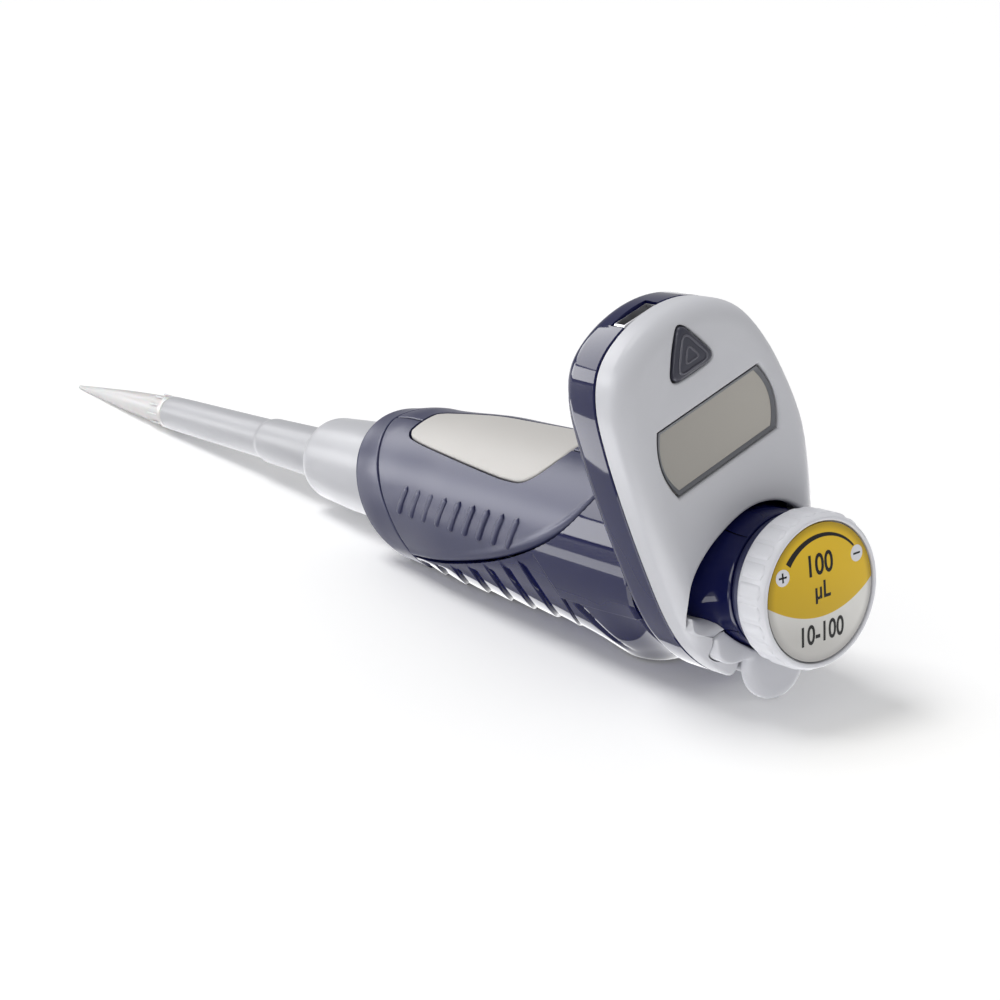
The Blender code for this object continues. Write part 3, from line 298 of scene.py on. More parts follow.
class PipetteShape(bpy.types.PropertyGroup):
    """Sizes of the details that a user would change."""

    rib_count: bpy.props.IntProperty(name="Ribs", description="Gill ribs under the handle", default=7, min=1)
    rib_pitch: length_setting("Rib pitch", "Distance between ribs", 0.0072)
    rib_depth: length_setting("Rib depth", "Height of a rib's edge", 0.0006)
    flute_count: bpy.props.IntProperty(name="Flutes", description="Ridges round the knob", default=24, min=3)
    flute_height: length_setting("Flute height", "How far a ridge stands out", 0.0002)
    grip_bars: bpy.props.IntProperty(
        name="Grip bars", description="Raised bars on each grip side", default=9, min=2)


class PipetteColours(bpy.types.PropertyGroup):
    """Colours of the moulded parts and the label."""

    satin: colour_setting("Grip", "Satin grip and collar", (0.024, 0.027, 0.08))
    gloss: colour_setting("Shell", "Polished lower shell, back shell and neck", (0.007, 0.009, 0.062))
    white: colour_setting("White", "Bezel, and the other white parts as shares of it", (0.6, 0.605, 0.64))
    pad: colour_setting("Pad", "Soft pad on top", (0.53, 0.512, 0.49))
    window: colour_setting("Display", "Display window", (0.33, 0.31, 0.275))
    label: colour_setting("Label", "Upper field of the label", (0.72, 0.47, 0.02))
    tip: colour_setting("Tip", "Disposable tip", (0.78, 0.77, 0.77))


class PipetteStage(bpy.types.PropertyGroup):
    """Colour of the floor and strength of the lights."""

    floor: colour_setting("Floor", "Floor colour", (0.96, 0.96, 0.96))
    sun: strength_setting("Main light", "Strength of the wide soft light", 1.55)
    boxes: strength_setting("Lamp boxes", "Strength of the boxes seen in gloss", 1.0)
    sky: strength_setting("Sky", "Strength of the surrounding light", 0.52)


# Shader maths

class Flow:
    """One output of a node tree that can be used in sums."""

    def __init__(self, nodes, socket):
        self.nodes = nodes
        self.socket = socket

    def __add__(self, other):
        return self.nodes.maths("ADD", self, other)

    def __radd__(self, other):
        return self.nodes.maths("ADD", other, self)

    def __sub__(self, other):
        return self.nodes.maths("SUBTRACT", self, other)

    def __rsub__(self, other):
        return self.nodes.maths("SUBTRACT", other, self)

    def __mul__(self, other):
        return self.nodes.maths("MULTIPLY", self, other)

    def __rmul__(self, other):
        return self.nodes.maths("MULTIPLY", other, self)

    def __truediv__(self, other):
        return self.nodes.maths("DIVIDE", self, other)

    def __rtruediv__(self, other):
        return self.nodes.maths("DIVIDE", other, self)

    def __pow__(self, other):
        return self.nodes.maths("POWER", self, other)

    def __neg__(self):
        return self.nodes.maths("MULTIPLY", self, -1.0)

    def rise(self, low, high):
        """0 below low, 1 above high and a smooth step between."""
        settings = {"interpolation_type": "SMOOTHSTEP"}
        return self.nodes.node("ShaderNodeMapRange", settings, {"Value": self, 1: low, 2: high})


class Nodes:
    """A node tree that is built node by node."""

    def __init__(self, tree):
        self.tree = tree

    def node(self, kind, settings=None, inputs=None, output=0):
        """Adds a node with its settings, feeds its inputs and returns one of its outputs."""
        made = self.tree.nodes.new(kind)
        for key, value in (settings or {}).items():
            setattr(made, key, value)
        for key, value in (inputs or {}).items():
            self.feed(made.inputs[key], value)
        return Flow(self, made.outputs[output])

    def feed(self, socket, value):
        """Links a socket to a flow, or sets its constant."""
        if isinstance(value, Flow):
            self.tree.links.new(value.socket, socket)
        elif socket.type == "RGBA":
            socket.default_value = (*value, 1.0)
        else:
            socket.default_value = value

    def maths(self, operation, *values):
        return self.node("ShaderNodeMath", {"operation": operation}, dict(enumerate(values)))

    def vector(self, *parts):
        return self.node("ShaderNodeCombineXYZ", None, dict(enumerate(parts)))

    def split(self, vector):
        """The x, y and z of a vector."""
        made = self.node("ShaderNodeSeparateXYZ", None, {0: vector}).socket.node
        return [Flow(self, socket) for socket in made.outputs]


class Board(Nodes):
    """A material round one Principled shader."""

    def __init__(self, name, **constants):
        self.material = bpy.data.materials.new(name)
        self.material.use_nodes = True
        super().__init__(self.material.node_tree)
        self.shader = self.tree.nodes["Principled BSDF"]
        self.set(**constants)

    def set(self, **values):
        """Feeds the shader's sockets: base_color means Base Color."""
        for key, value in values.items():
            title = key.replace("_", " ").title().replace("Ior", "IOR")
            self.feed(self.shader.inputs[title], value)

    def place(self):
        """The surface point in the piece's Object coordinates."""
        return self.node("ShaderNodeTexCoord", output=3)

    def spot(self):
        """The surface point in the pipette's frame, in millimetres."""
        return self.node("ShaderNodeAttribute", {"attribute_name": "spot"}, output=1)

    def noise(self, scale, detail=2.0, along=None):
        """Noise, drawn out along the pipette where along is below 1."""
        place = self.place()
        if along:
            turn = FORWARD.to_track_quat("X", "Z").inverted().to_euler()
            turned = {"Vector": place, "Rotation": turn}
            place = self.node("ShaderNodeMapping", {"vector_type": "POINT"}, turned)
            stretch = {0: place, 1: (along, 1.0, 1.0)}
            place = self.node("ShaderNodeVectorMath", {"operation": "MULTIPLY"}, stretch)
        return self.node("ShaderNodeTexNoise", None, {"Vector": place, "Scale": scale, "Detail": detail})

    def blend(self, share, first, second):
        return self.node("ShaderNodeMix", {"data_type": "RGBA"}, {0: share, 6: first, 7: second}, output=2)

    def drift(self, share, color, dark, light):
        """The colour, drifting between its darker and its lighter share."""
        return self.blend(share, shade(color, dark), shade(color, light))

    def bump(self, height, strength, distance):
        """Feeds the shader's Normal with a relief, whose distance is in metres."""
        inputs = {"Height": height, "Strength": strength, "Distance": distance}
        self.set(normal=self.node("ShaderNodeBump", None, inputs))


def shade(color, share):
    """A colour made lighter or darker."""
    return tuple(min(1.0, channel * share) for channel in color)


def moulded_plastic(name, color, roughness=0.3, grain=0.25):
    """Moulded plastic: slight colour drift, fine grain and faint handling marks."""
    board = Board(name, ior=1.48, specular_ior_level=0.16)
    board.set(base_color=board.drift(board.noise(35.0, 3.0), color, 0.96, 1.03))
    marks = board.noise(260.0, 4.0, along=0.25).rise(0.45, 0.75)
    board.set(roughness=roughness + marks * 0.08)
    board.bump(board.noise(4200.0), grain, 0.00002)
    return board.material


def satin_plastic(name, color):
    """Spark-eroded satin plastic with polished high spots."""
    board = Board(name, ior=1.5, specular_ior_level=0.3)
    board.set(base_color=board.drift(board.noise(28.0, 3.0), color, 0.93, 1.08))
    worn = board.noise(120.0, 3.0, along=0.3).rise(0.5, 0.8)
    board.set(roughness=0.36 - worn * 0.06)
    board.bump(board.noise(5200.0, 3.0), 0.35, 0.00003)
    return board.material


def polished_plastic(name, color):
    """High-gloss plastic: nearly a mirror, with faint waves from the mould and fine wipe marks."""
    board = Board(name, ior=1.5, specular_ior_level=0.24)
    board.set(base_color=board.drift(board.noise(22.0), color, 0.92, 1.1))
    wipes = board.noise(900.0, along=0.12).rise(0.55, 0.8)
    board.set(roughness=0.05 + wipes * 0.05)
    board.bump(board.noise(45.0, 1.0), 0.12, 0.0004)
    return board.material


def soft_pad(name, color):
    """Soft touch elastomer: matt, finely pitted, with a few specks."""
    board = Board(name, ior=1.45, sheen_weight=0.15, sheen_roughness=0.4)
    cloud = board.noise(40.0, 3.0)
    cells = board.node("ShaderNodeTexVoronoi", None, {"Vector": board.place(), "Scale": 210.0})
    specks = (1.0 - cells.rise(0.03, 0.06)) * board.noise(90.0, 1.0).rise(0.62, 0.66)
    clean = board.drift(cloud, color, 0.95, 1.03)
    board.set(base_color=board.blend(specks, clean, shade(color, 0.45)))
    board.set(roughness=0.52 + cloud * 0.1)
    board.bump(board.noise(3600.0, 3.0), 0.5, 0.00004)
    return board.material


def clear_moulding(name, color):
    """Milky polypropylene of a thin tip."""
    board = Board(name, ior=1.49, transmission_weight=0.35, subsurface_weight=0.2, subsurface_scale=0.002)
    board.set(base_color=board.drift(board.noise(60.0), color, 0.95, 1.04))
    flow = board.noise(500.0, along=0.1)
    board.set(roughness=0.3 + flow * 0.1)
    board.bump(flow, 0.1, 0.00003)
    return board.material


def metal(name, color, roughness=0.28):
    """Turned or drawn metal with marks along its length."""
    board = Board(name, metallic=1.0)
    marks = board.noise(1500.0, along=0.05)
    board.set(base_color=board.drift(marks, color, 0.86, 1.08))
    board.set(roughness=roughness + marks * 0.12)
    board.bump(marks, 0.12, 0.00003)
    return board.material


def display_glass(name, color):
    """Blank display under its window: grey-beige, with painted light that makes it a little lighter to one
    side.
    """
    board = Board(name, ior=1.5, coat_weight=1.0, coat_roughness=0.03)
    _, w, q = board.split(board.spot())
    # painted light: the display's colour grows lighter towards the far side and the bottom
    light = (w - q * 0.25).rise(-22.0, 8.0)
    board.set(base_color=board.drift(light, color, 0.9, 1.14))
    board.set(roughness=0.22 + board.noise(300.0) * 0.05)
    return board.material


def label_print(name, color):
    """Domed label: a coloured field over a pale one with a curved border between them, darkened round its rim
    by painted shade.
    """
    board = Board(name, ior=1.45, specular_ior_level=0.15, coat_weight=0.2, coat_roughness=0.03)
    _, w, q = board.split(board.spot())
    u = w * math.cos(LABEL_TURN) - q * math.sin(LABEL_TURN)
    v = w * math.sin(LABEL_TURN) + q * math.cos(LABEL_TURN)
    field = (v + LABEL_BORDER - u * u * LABEL_BORDER_BOW).rise(-0.06, 0.06)
    pale = board.blend((v + 8.0 + u * 0.3).rise(-4.0, 8.0), (0.52, 0.51, 0.49), (0.78, 0.77, 0.74))
    warm = board.drift((v + u * 0.5).rise(-8.0, 9.0), color, 0.82, 1.06)
    # painted shade: the colours darken towards the dome's rim, as if its edge lay in shadow
    rim = ((u * u + v * v) ** 0.5).rise(10.4, 12.0)
    shadow = board.blend(field, (0.42, 0.41, 0.4), shade(color, 0.5))
    board.set(base_color=board.blend(rim * 0.8, board.blend(field, pale, warm), shadow))
    board.set(roughness=0.3 + board.noise(600.0) * 0.05)
    return board.material


def plain_finish(name, color, roughness):
    """Ink, board and other small surfaces with a little variation."""
    board = Board(name, specular_ior_level=0.2)
    cloud = board.noise(400.0, 3.0)
    board.set(base_color=board.drift(cloud, color, 0.85, 1.12))
    board.set(roughness=roughness + cloud * 0.1)
    board.bump(cloud, 0.1, 0.00003)
    return board.material


# Mesh helpers

def lerp(a, b, share):
    """The value at a share of the way from a to b."""
    return a + (b - a) * share


def smooth_step(low, high, value):
    """0 before low and 1 past high, also where low is the larger of the two."""
    share = min(1.0, max(0.0, (value - low) / (high - low)))
    return share * share * (3.0 - 2.0 * share)


def polar(x, radius, angle):
    """A point at a station, a distance from the axis and an angle in degrees from the display's side."""
    turn = math.radians(angle)
    return Vector((x, -radius * math.sin(turn), radius * math.cos(turn)))


def catmull_rom(points, steps):
    """A smooth closed curve through the points."""
    curve = []
    count = len(points)
    for index in range(count):
        p0, p1, p2, p3 = (Vector(points[(index + shift) % count]) for shift in (-1, 0, 1, 2))
        for step in range(steps):
            t = step / steps
            blend = 2.0 * p1 + (p2 - p0) * t + (2.0 * p0 - 5.0 * p1 + 4.0 * p2 - p3) * t * t
            blend = blend + (3.0 * p1 - p0 - 3.0 * p2 + p3) * t * t * t
            curve.append(0.5 * blend)
    return curve


def inset(outline, distance):
    """The outline moved inwards."""
    moved = []
    count = len(outline)
    for index, point in enumerate(outline):
        along = (outline[(index + 1) % count] - outline[index - 1]).normalized()
        moved.append(point + Vector((along.y, -along.x)) * distance)
    return moved


def circle_outline(radius, centre=(0.0, 0.0), sides=64):
    """A circle's points, across and up."""
    turns = (2 * math.pi * index / sides for index in range(sides))
    return [Vector((centre[0] + radius * math.sin(t), centre[1] + radius * math.cos(t))) for t in turns]


def rings_to_mesh(rings, closed_rows=False, cap_ends=False):
    """Joins rings of points with faces. A ring with one point is a pole."""
    bm = bmesh.new()
    rows = [[bm.verts.new(point) for point in ring] for ring in rings]
    pairs = list(zip(rows, rows[1:]))
    if closed_rows:
        pairs.append((rows[-1], rows[0]))
    for low, high in pairs:
        sides = max(len(low), len(high))
        for index in range(sides):
            after = (index + 1) % sides
            corners = [low[index % len(low)], low[after % len(low)]]
            corners += [high[after % len(high)], high[index % len(high)]]
            corners = list(dict.fromkeys(corners))
            if len(corners) > 2:
                bm.faces.new(corners)
    if cap_ends:
        bm.faces.new(rows[0])
        bm.faces.new(reversed(rows[-1]))
    return bm


def rounded(corners, steps=4):
    """The (x, radius) points of a profile whose corners give their x, radius and fillet."""
    points = [Vector(corner[:2]) for corner in corners]
    result = []
    for index, (_, radius, fillet) in enumerate(corners):
        here = points[index]
        before = points[index - 1] - here
        after = points[(index + 1) % len(points)] - here
        reach = min(fillet, before.length * 0.45, after.length * 0.45)
        straight = before.length < 1e-6 or after.length < 1e-6 or before.angle(after) > math.radians(170)
        if reach <= 0 or radius == 0 or straight:
            result.append(tuple(here))
            continue
        start = here + before.normalized() * reach
        end = here + after.normalized() * reach
        for step in range(steps + 1):
            t = step / steps
            result.append(tuple(start.lerp(here, t).lerp(here.lerp(end, t), t)))
    return result


def lathe(profile, sides=96):
    """Turns (x, radius) points round the axis. A radius of 0 is a pole."""
    rings = []
    for x, radius in profile:
        turns = (360.0 * index / sides for index in range(sides))
        rings.append([polar(x, radius, turn) for turn in turns] if radius else [Vector((x, 0.0, 0.0))])
    return rings_to_mesh(rings, profile[0][1] != 0 or profile[-1][1] != 0)


def stacked(layers):
    """A solid through outlines that stand at stations along the axis."""
    rings = [[Vector((x, point.x, point.y)) for point in outline] for x, outline in layers]
    return rings_to_mesh(rings, cap_ends=True)


def boxed(low, high, angle=0.0, edge=0.0):
    """A box, with rounded edges where edge is above 0, turned about the axis."""
    low, high = Vector(low), Vector(high)
    bm = bmesh.new()
    bmesh.ops.create_cube(bm, size=1.0)
    bmesh.ops.transform(bm, matrix=Matrix.Diagonal((*(high - low), 1.0)), verts=bm.verts)
    bmesh.ops.translate(bm, verts=bm.verts, vec=(low + high) / 2)
    if edge:
        bmesh.ops.bevel(bm, geom=bm.edges[:], offset=edge, segments=3, profile=0.5, affect="EDGES")
    if angle:
        turn = Matrix.Rotation(math.radians(angle), 4, "X")
        bmesh.ops.transform(bm, matrix=turn, verts=bm.verts)
    return bm


def walled(outer, inner, closed=False):
    """A curved plate between an outer and an inner grid of points, closed all round."""
    bm = bmesh.new()
    grids = []
    for surface, flip in ((outer, False), (inner, True)):
        grid = [[bm.verts.new(point) for point in row] for row in surface]
        for low, high in zip(grid, grid[1:]):
            for index in range(len(low) - (0 if closed else 1)):
                after = (index + 1) % len(low)
                corners = [low[index], low[after], high[after], high[index]]
                bm.faces.new(reversed(corners) if flip else corners)
        grids.append(grid)
    top, under = grids
    edges = [(top[0], under[0]), (under[-1], top[-1])]
    if not closed:
        edges.append(([row[-1] for row in top], [row[-1] for row in under]))
        edges.append(([row[0] for row in under], [row[0] for row in top]))
    for a, b in edges:
        for index in range(len(a) - (0 if closed else 1)):
            after = (index + 1) % len(a)
            bm.faces.new((a[index], a[after], b[after], b[index]))
    return bm


def linked(name, data):
    """A new object in the scene."""
    item = bpy.data.objects.new(name, data)
    bpy.context.collection.objects.link(item)
    return item


def piece_from(name, bm, finish=None, sharp=35.0):
    """Makes an object at the origin from a mesh in the pipette's frame."""
    bmesh.ops.remove_doubles(bm, verts=bm.verts, dist=0.0005)
    bmesh.ops.recalc_face_normals(bm, faces=bm.faces)
    mesh = bpy.data.meshes.new(name)
    bm.to_mesh(mesh)
    bm.free()
    mesh.shade_smooth()
    mesh.set_sharp_from_angle(angle=math.radians(sharp))
    if finish:
        mesh.materials.append(finish)
    return linked(name, mesh)


def evaluated_mesh(item):
    """The item's mesh with its modifiers applied."""
    bpy.context.view_layer.update()
    graph = bpy.context.evaluated_depsgraph_get()
    return bpy.data.meshes.new_from_object(item.evaluated_get(graph))


def finished(piece, body, slot, *nodes, sharp=35.0):
    """Applies what is live, lays the piece down on the table, ties it to its body and hides the CAD nodes
    that it stands for.
    """
    mesh = evaluated_mesh(piece)
    piece.modifiers.clear()
    piece.data = mesh
    mesh.name = piece.name
    spot = mesh.attributes.new("spot", "FLOAT_VECTOR", "POINT")
    for vertex, value in zip(mesh.vertices, spot.data):
        value.vector = vertex.co
    mesh.transform(LAY)
    mesh.shade_smooth()
    mesh.set_sharp_from_angle(angle=math.radians(sharp))
    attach(piece, body)
    if nodes:
        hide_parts(*nodes)
    return piece


def join_or_cut(piece, operation, others):
    """Adds a live Boolean for each of the others."""
    for other in others:
        change = piece.modifiers.new(other.name, "BOOLEAN")
        change.operation = operation
        change.solver = "EXACT"
        change.object = other


def cut(piece, *cutters):
    """Subtracts cutters, after what is already live, and applies it all."""
    join_or_cut(piece, "DIFFERENCE", cutters)
    piece.data = evaluated_mesh(piece)
    piece.modifiers.clear()
    return piece


def drop(*helpers):
    """Removes helper objects that have done their work."""
    for helper in helpers:
        bpy.data.objects.remove(helper, do_unlink=True)


# Shape of the pipette

HEAD = inset(catmull_rom(HEAD_OUTLINE, 6), 0.1)


def edge_drop(distance, radius):
    """How far a rounded border falls away at a distance from it."""
    if distance >= radius:
        return 0.0
    short = radius - max(0.0, distance)
    return radius - math.sqrt(max(0.0, radius * radius - short * short))


def spread(count):
    """Shares from 0 to 1 that lie closer together near both ends."""
    return [(1.0 - math.cos(math.pi * index / count)) / 2 for index in range(count + 1)]


def fold(angle):
    """The angle from the display's side, the same for both sides."""
    return abs((angle + 180.0) % 360.0 - 180.0)


def outline_reach(outline, angle):
    """How far an outline reaches from the axis at an angle from the display side."""
    turn = math.radians(angle)
    ray = Vector((-math.sin(turn), math.cos(turn)))
    best = 0.0
    for index, a in enumerate(outline):
        edge = outline[(index + 1) % len(outline)] - a
        across = ray.x * edge.y - ray.y * edge.x
        if abs(across) < 1e-9:
            continue
        reach = (a.x * edge.y - a.y * edge.x) / across
        share = (a.x * ray.y - a.y * ray.x) / across
        if 0.0 <= share <= 1.0:
            best = max(best, reach)
    return best


HEAD_REACH = {}


def head_reach(angle):
    """How far the head's outline reaches at an angle, worked out once for each angle."""
    key = round(angle, 3)
    if key not in HEAD_REACH:
        HEAD_REACH[key] = outline_reach(HEAD, angle)
    return HEAD_REACH[key]


def collar_front(angle):
    """The collar's front edge, which slants back from top to bottom."""
    return COLLAR_FRONT - COLLAR_SLANT * math.cos(math.radians(angle))


def collar_seam(angle):
    """The seam behind the collar, which runs back from the top and then levels off."""
    past = min(2 * SEAM_EASE, max(0.0, fold(angle) - SEAM_LEVEL + SEAM_EASE))
    reach = min(fold(angle), SEAM_LEVEL + SEAM_EASE) - past * past / (4 * SEAM_EASE)
    return SEAM_START + SEAM_RISE * math.hypot(reach, 8.0) / SEAM_LEVEL


def handle_radius(x, angle):
    """The handle's outer surface, with the two flats that it lies on."""
    stations = (
        (COLLAR_FRONT - COLLAR_SLANT, COLLAR_R), (SEAM_START + 8.0, GRIP_FRONT_R),
        (SEAM_START + 33.0, GRIP_MID_R), (HANDLE_REAR - 30.0, GRIP_REAR_R), (HANDLE_REAR, GRIP_REAR_R),
    )
    radius = stations[0][1]
    for (x0, r0), (x1, r1) in zip(stations, stations[1:]):
        if x > x0:
            radius = lerp(r0, r1, smooth_step(x0, x1, x))
    folded = fold(angle)
    bulge = REAR_BULGE * smooth_step(*REAR_BULGE_ANGLES, folded)
    bulge = bulge + FOOT_BULGE * smooth_step(*FOOT_BULGE_ANGLES, folded)
    bulge *= 1.0 - FAR_SIDE_SHRINK * smooth_step(*FAR_SIDE_ANGLES, angle % 360.0)
    radius += bulge * smooth_step(*BULGE_RUN, x)
    if folded > 60.0 and x > HEAD_MEETS:
        reach = head_reach(angle) - 0.6
        radius = lerp(radius, min(radius, reach), smooth_step(HEAD_MEETS, HANDLE_REAR, x))
    flat = TIP_MOUTH_R + TABLE_SLOPE * x
    flat /= max(0.2, math.cos(math.radians(folded - EJECTOR_ANGLE)))
    return min(radius, flat)


def grip_edge(x):
    """The angle down to which a grip half reaches: it narrows evenly, then in a sweep, then steeply."""
    share = min(1.0, max(0.0, (x - GRIP_START) / (GRIP_END - GRIP_START)))
    return GRIP_COVER - GRIP_NARROWING * share - GRIP_SWEEP * share ** 4.5 - GRIP_TAIL * share ** 20


def rib_lean(folded):
    """How far forward a rib's crest runs at an angle, from the station of its crown."""
    past = min(folded, RIB_TURN) - RIB_CROWN
    beyond = max(0.0, folded - RIB_TURN)
    return RIB_CURVE * past * past + RIB_SLOPE * beyond - RIB_EASE * beyond * beyond


def rib_lift(x, angle, shape):
    """Gill-like ribs under the handle, then the smooth rear panel with its lower ledge and its recess."""
    folded = fold(angle)
    pitch = shape.rib_pitch / MM
    depth = shape.rib_depth / MM
    along = (x - RIB_START + rib_lean(folded)) / pitch
    limit = grip_edge(x)
    reach = smooth_step(limit + 2.0, limit + 10.0, folded)
    if along < 0.0:
        return 0.0
    if along < shape.rib_count:
        share = along % 1.0
        top = 1.0 if along < shape.rib_count - 1 else 0.6
        crest = edge_drop((1.0 - share) * pitch, RIB_CREST)
        return -reach * (depth * (1.0 - share * top) + crest)
    past = (along - shape.rib_count) * pitch
    step_up = edge_drop(past, PANEL_STEP) * smooth_step(limit, limit + 4.0, folded)
    ledge = LEDGE_DEPTH * smooth_step(*LEDGE_ANGLES, folded)
    middle = RECESS_MID + RECESS_LEAN * (folded - RECESS_MID_ANGLE)
    recess = RECESS_DEPTH * math.exp(-((x - middle) / RECESS_HALF_WIDTH) ** 4)
    recess *= smooth_step(*RECESS_TOP, folded)
    return -step_up - ledge - recess * (1.0 - smooth_step(*RECESS_BOTTOM, folded))


def grip_grid(side, depth, grow=0.0, lead=0.0, counts=(70, 44), rim=0.0):
    """Rows of points over one grip half. Side is +1 or -1; a cutter grows all round and leads in front."""
    rows = []
    for row in spread(counts[0]):
        points = []
        bare_edge = 0.0
        for _ in range(6):
            front = collar_seam(bare_edge) + GAP - lead
            bare_edge = grip_edge(lerp(front, GRIP_END + grow, row))
        edge = bare_edge + math.degrees(grow / GRIP_MID_R)
        start = math.degrees((GAP / 2 - grow) / GRIP_MID_R)
        for share in spread(counts[1]):
            angle = side * lerp(start, edge, share)
            x = lerp(collar_seam(angle) + GAP - lead, GRIP_END + grow, row)
            reach = handle_radius(x, angle) - depth
            if rim:
                to_mm = math.radians(1.0) * GRIP_MID_R
                from_edge = (edge - abs(angle)) * to_mm
                bead = BEAD_HEIGHT * math.exp(-((from_edge - BEAD_INSET) / BEAD_WIDTH) ** 2)
                reach += bead - edge_drop(from_edge, rim)
                reach -= edge_drop((abs(angle) - start) * to_mm, 0.25)
                reach -= edge_drop(x - collar_seam(angle) - GAP, 0.35) + edge_drop(GRIP_END - x, rim)
            points.append(polar(x, reach, angle))
        rows.append(points if side < 0 else points[::-1])
    return rows


def pad_half_angle(share):
    """Half of the pad's width as an angle: it widens towards the rear and is round at both ends."""
    widen = lerp(PAD_FRONT_ANGLE, PAD_HALF_ANGLE, min(1.0, (share / 0.75)) ** 0.55)
    front = math.sqrt(max(0.0, 1.0 - (1.0 - min(1.0, share / 0.06)) ** 2)) * 0.35 + 0.65
    back = math.sqrt(max(0.0, 1.0 - (max(0.0, share - 0.84) / 0.16) ** 2))
    return widen * front * max(0.12, back)


def pad_grid(depth, grow, rim=0.0):
    """Rows of points over the pad at a depth under the grip's surface."""
    rows = []
    for share in spread(56):
        x = lerp(PAD_START - grow, PAD_END + grow, share)
        half = pad_half_angle(share) + math.degrees(grow / GRIP_MID_R)
        points = []
        for across in spread(36):
            angle = half * (2.0 * across - 1.0)
            reach = handle_radius(x, angle) - depth
            if rim:
                side = (half - abs(angle)) * math.radians(1.0) * GRIP_MID_R
                reach -= edge_drop(min(side, x - PAD_START, PAD_END - x), rim)
            points.append(polar(x, reach, angle))
        rows.append(points)
    return rows


def window_outline(grow=0.0):
    """The display's outline: straight above and below, bowed at its sides."""
    half_w = WINDOW_WIDTH / 2 + grow
    half_h = WINDOW_HEIGHT / 2 + grow
    right = []
    for index in range(15):
        share = 1.0 - 2.0 * index / 14
        bow = WINDOW_BULGE * (1.0 - share * share)
        right.append(Vector((half_w - WINDOW_BULGE + bow, WINDOW_MID + half_h * share)))
    left = [Vector((-point.x, 2 * WINDOW_MID - point.y)) for point in right]
    return right + left


def button_outline(grow=0.0, scale=1.0):
    """A rounded triangle with slightly bowed sides, as a blend of its three sides."""
    sides = (math.radians(60.0), math.radians(180.0), math.radians(300.0))
    points = []
    for index in range(72):
        turn = 2 * math.pi * index / 72
        bow = sum(max(0.0, math.cos(turn - side)) ** BUTTON_CORNERS for side in sides) ** (1 / BUTTON_CORNERS)
        reach = BUTTON_R * BUTTON_INSIDE / bow * scale + grow
        points.append(Vector((BUTTON_SIDE + reach * math.sin(turn), BUTTON_MID + reach * math.cos(turn))))
    return points


def ejector_channel(name, start, end, floor, deep=False):
    """Room for the ejector's stem from a floor outwards, or for its lobe where it is deep."""
    half = (LOBE_R if deep else STEM_HALF) + SLIDE_GAP
    roof = 32.0 if deep else STEM_FLOOR + STEM_DEPTH + SLIDE_GAP
    return piece_from(name, boxed((start, -half, floor - SLIDE_GAP), (end, half, roof), EJECTOR_ANGLE))


def lobe_room():
    """Room in the head for the ejector's lobe over the whole travel."""
    start = LOBE_BACK - EJECT_TRAVEL - SLIDE_GAP
    return ejector_channel("lobe_room", start, HEAD_FRONT + 3.0, NECK_R - 3.0, True)


# Pieces

def build_tip(finishes):
    """The disposable tip: fine end, taper and ribbed rim, hollow all through."""
    profile = (
        (0.0, TIP_MOUTH_R, 0.1), (TIP_FINE_END, 1.4, 6.0), (TIP_TAPER_END, 2.75, 3.0), (TIP_RIM, 3.7, 0.15),
        (TIP_RIM + 0.3, TIP_RIM_R, 0.15), (TIP_LENGTH, TIP_RIM_R, 0.3), (TIP_LENGTH, 2.98, 0.2),
        (TIP_SEAT, 2.62, 0.5), (TIP_TAPER_END, 2.15, 4.0), (TIP_FINE_END, 0.8, 5.0), (0.0, 0.22, 0.05),
    )
    tip = piece_from("clear_tip", lathe(rounded(profile)), finishes["tip"])
    finished(tip, "tip", "tip", "pipette_tip")
    bars = radial_bars("tip_grip_ribs", finishes["tip"], 10, 3.82, (44.2, 48.9), (0.28, 0.22))
    finished(bars, "tip", "tip")


def build_sleeve(finishes):
    """The ejector's tapered sleeve with its small step."""
    profile = (
        (SLEEVE_FRONT, SLEEVE_FRONT_R, 0.25), (SLEEVE_FRONT + 6.0, 4.16, 2.0), (STEP_FRONT - 8.0, 4.5, 2.0),
        (STEP_FRONT, 4.6, 0.9), (STEP_BACK, 5.15, 0.9), (SLEEVE_BACK, SLEEVE_BACK_R, 0.2),
        (SLEEVE_BACK, SLEEVE_BACK_R - SLEEVE_WALL, 0.1), (STEP_BACK, 4.8, 0.5), (STEP_FRONT - 1.0, 3.85, 0.5),
        (SLEEVE_FRONT, SLEEVE_FRONT_R - SLEEVE_WALL, 0.1),
    )
    sleeve = piece_from("tapered_sleeve", lathe(rounded(profile)), finishes["sleeve"])
    finished(sleeve, "ejector", "lavender", "ejector_sleeve")


def build_cap(finishes):
    """The wide cap with its shoulder, and the lug that the ejector's rod pushes."""
    profile = (
        (CAP_FRONT, 5.55, 0.3), (CAP_FRONT + 2.6, 8.6, 0.9), (CAP_FRONT + 4.2, 9.1, 1.4),
        (CAP_FRONT + 16.0, 9.95, 5.0), (CAP_FRONT + 30.0, CAP_R, 5.0), (CAP_BACK, CAP_R, 0.3),
        (CAP_BACK, CAP_BORE, 0.2), (CAP_BORE_END, CAP_BORE, 2.0), (CAP_FRONT + 4.6, 8.0, 1.0),
        (CAP_FRONT + 3.0, 5.75, 0.3), (CAP_FRONT, 4.75, 0.1),
    )
    bm = lathe(rounded(profile))
    lug = boxed((CAP_BACK - LUG_LENGTH, -2.0, CAP_R - 0.5), (CAP_BACK, 2.0, LUG_REACH), EJECTOR_ANGLE, 0.4)
    mesh = bpy.data.meshes.new("lug")
    lug.to_mesh(mesh)
    lug.free()
    bm.from_mesh(mesh)
    cap = piece_from("ejector_shroud", bm, finishes["white"])
    finished(cap, "ejector", "white", "ejector_cap")


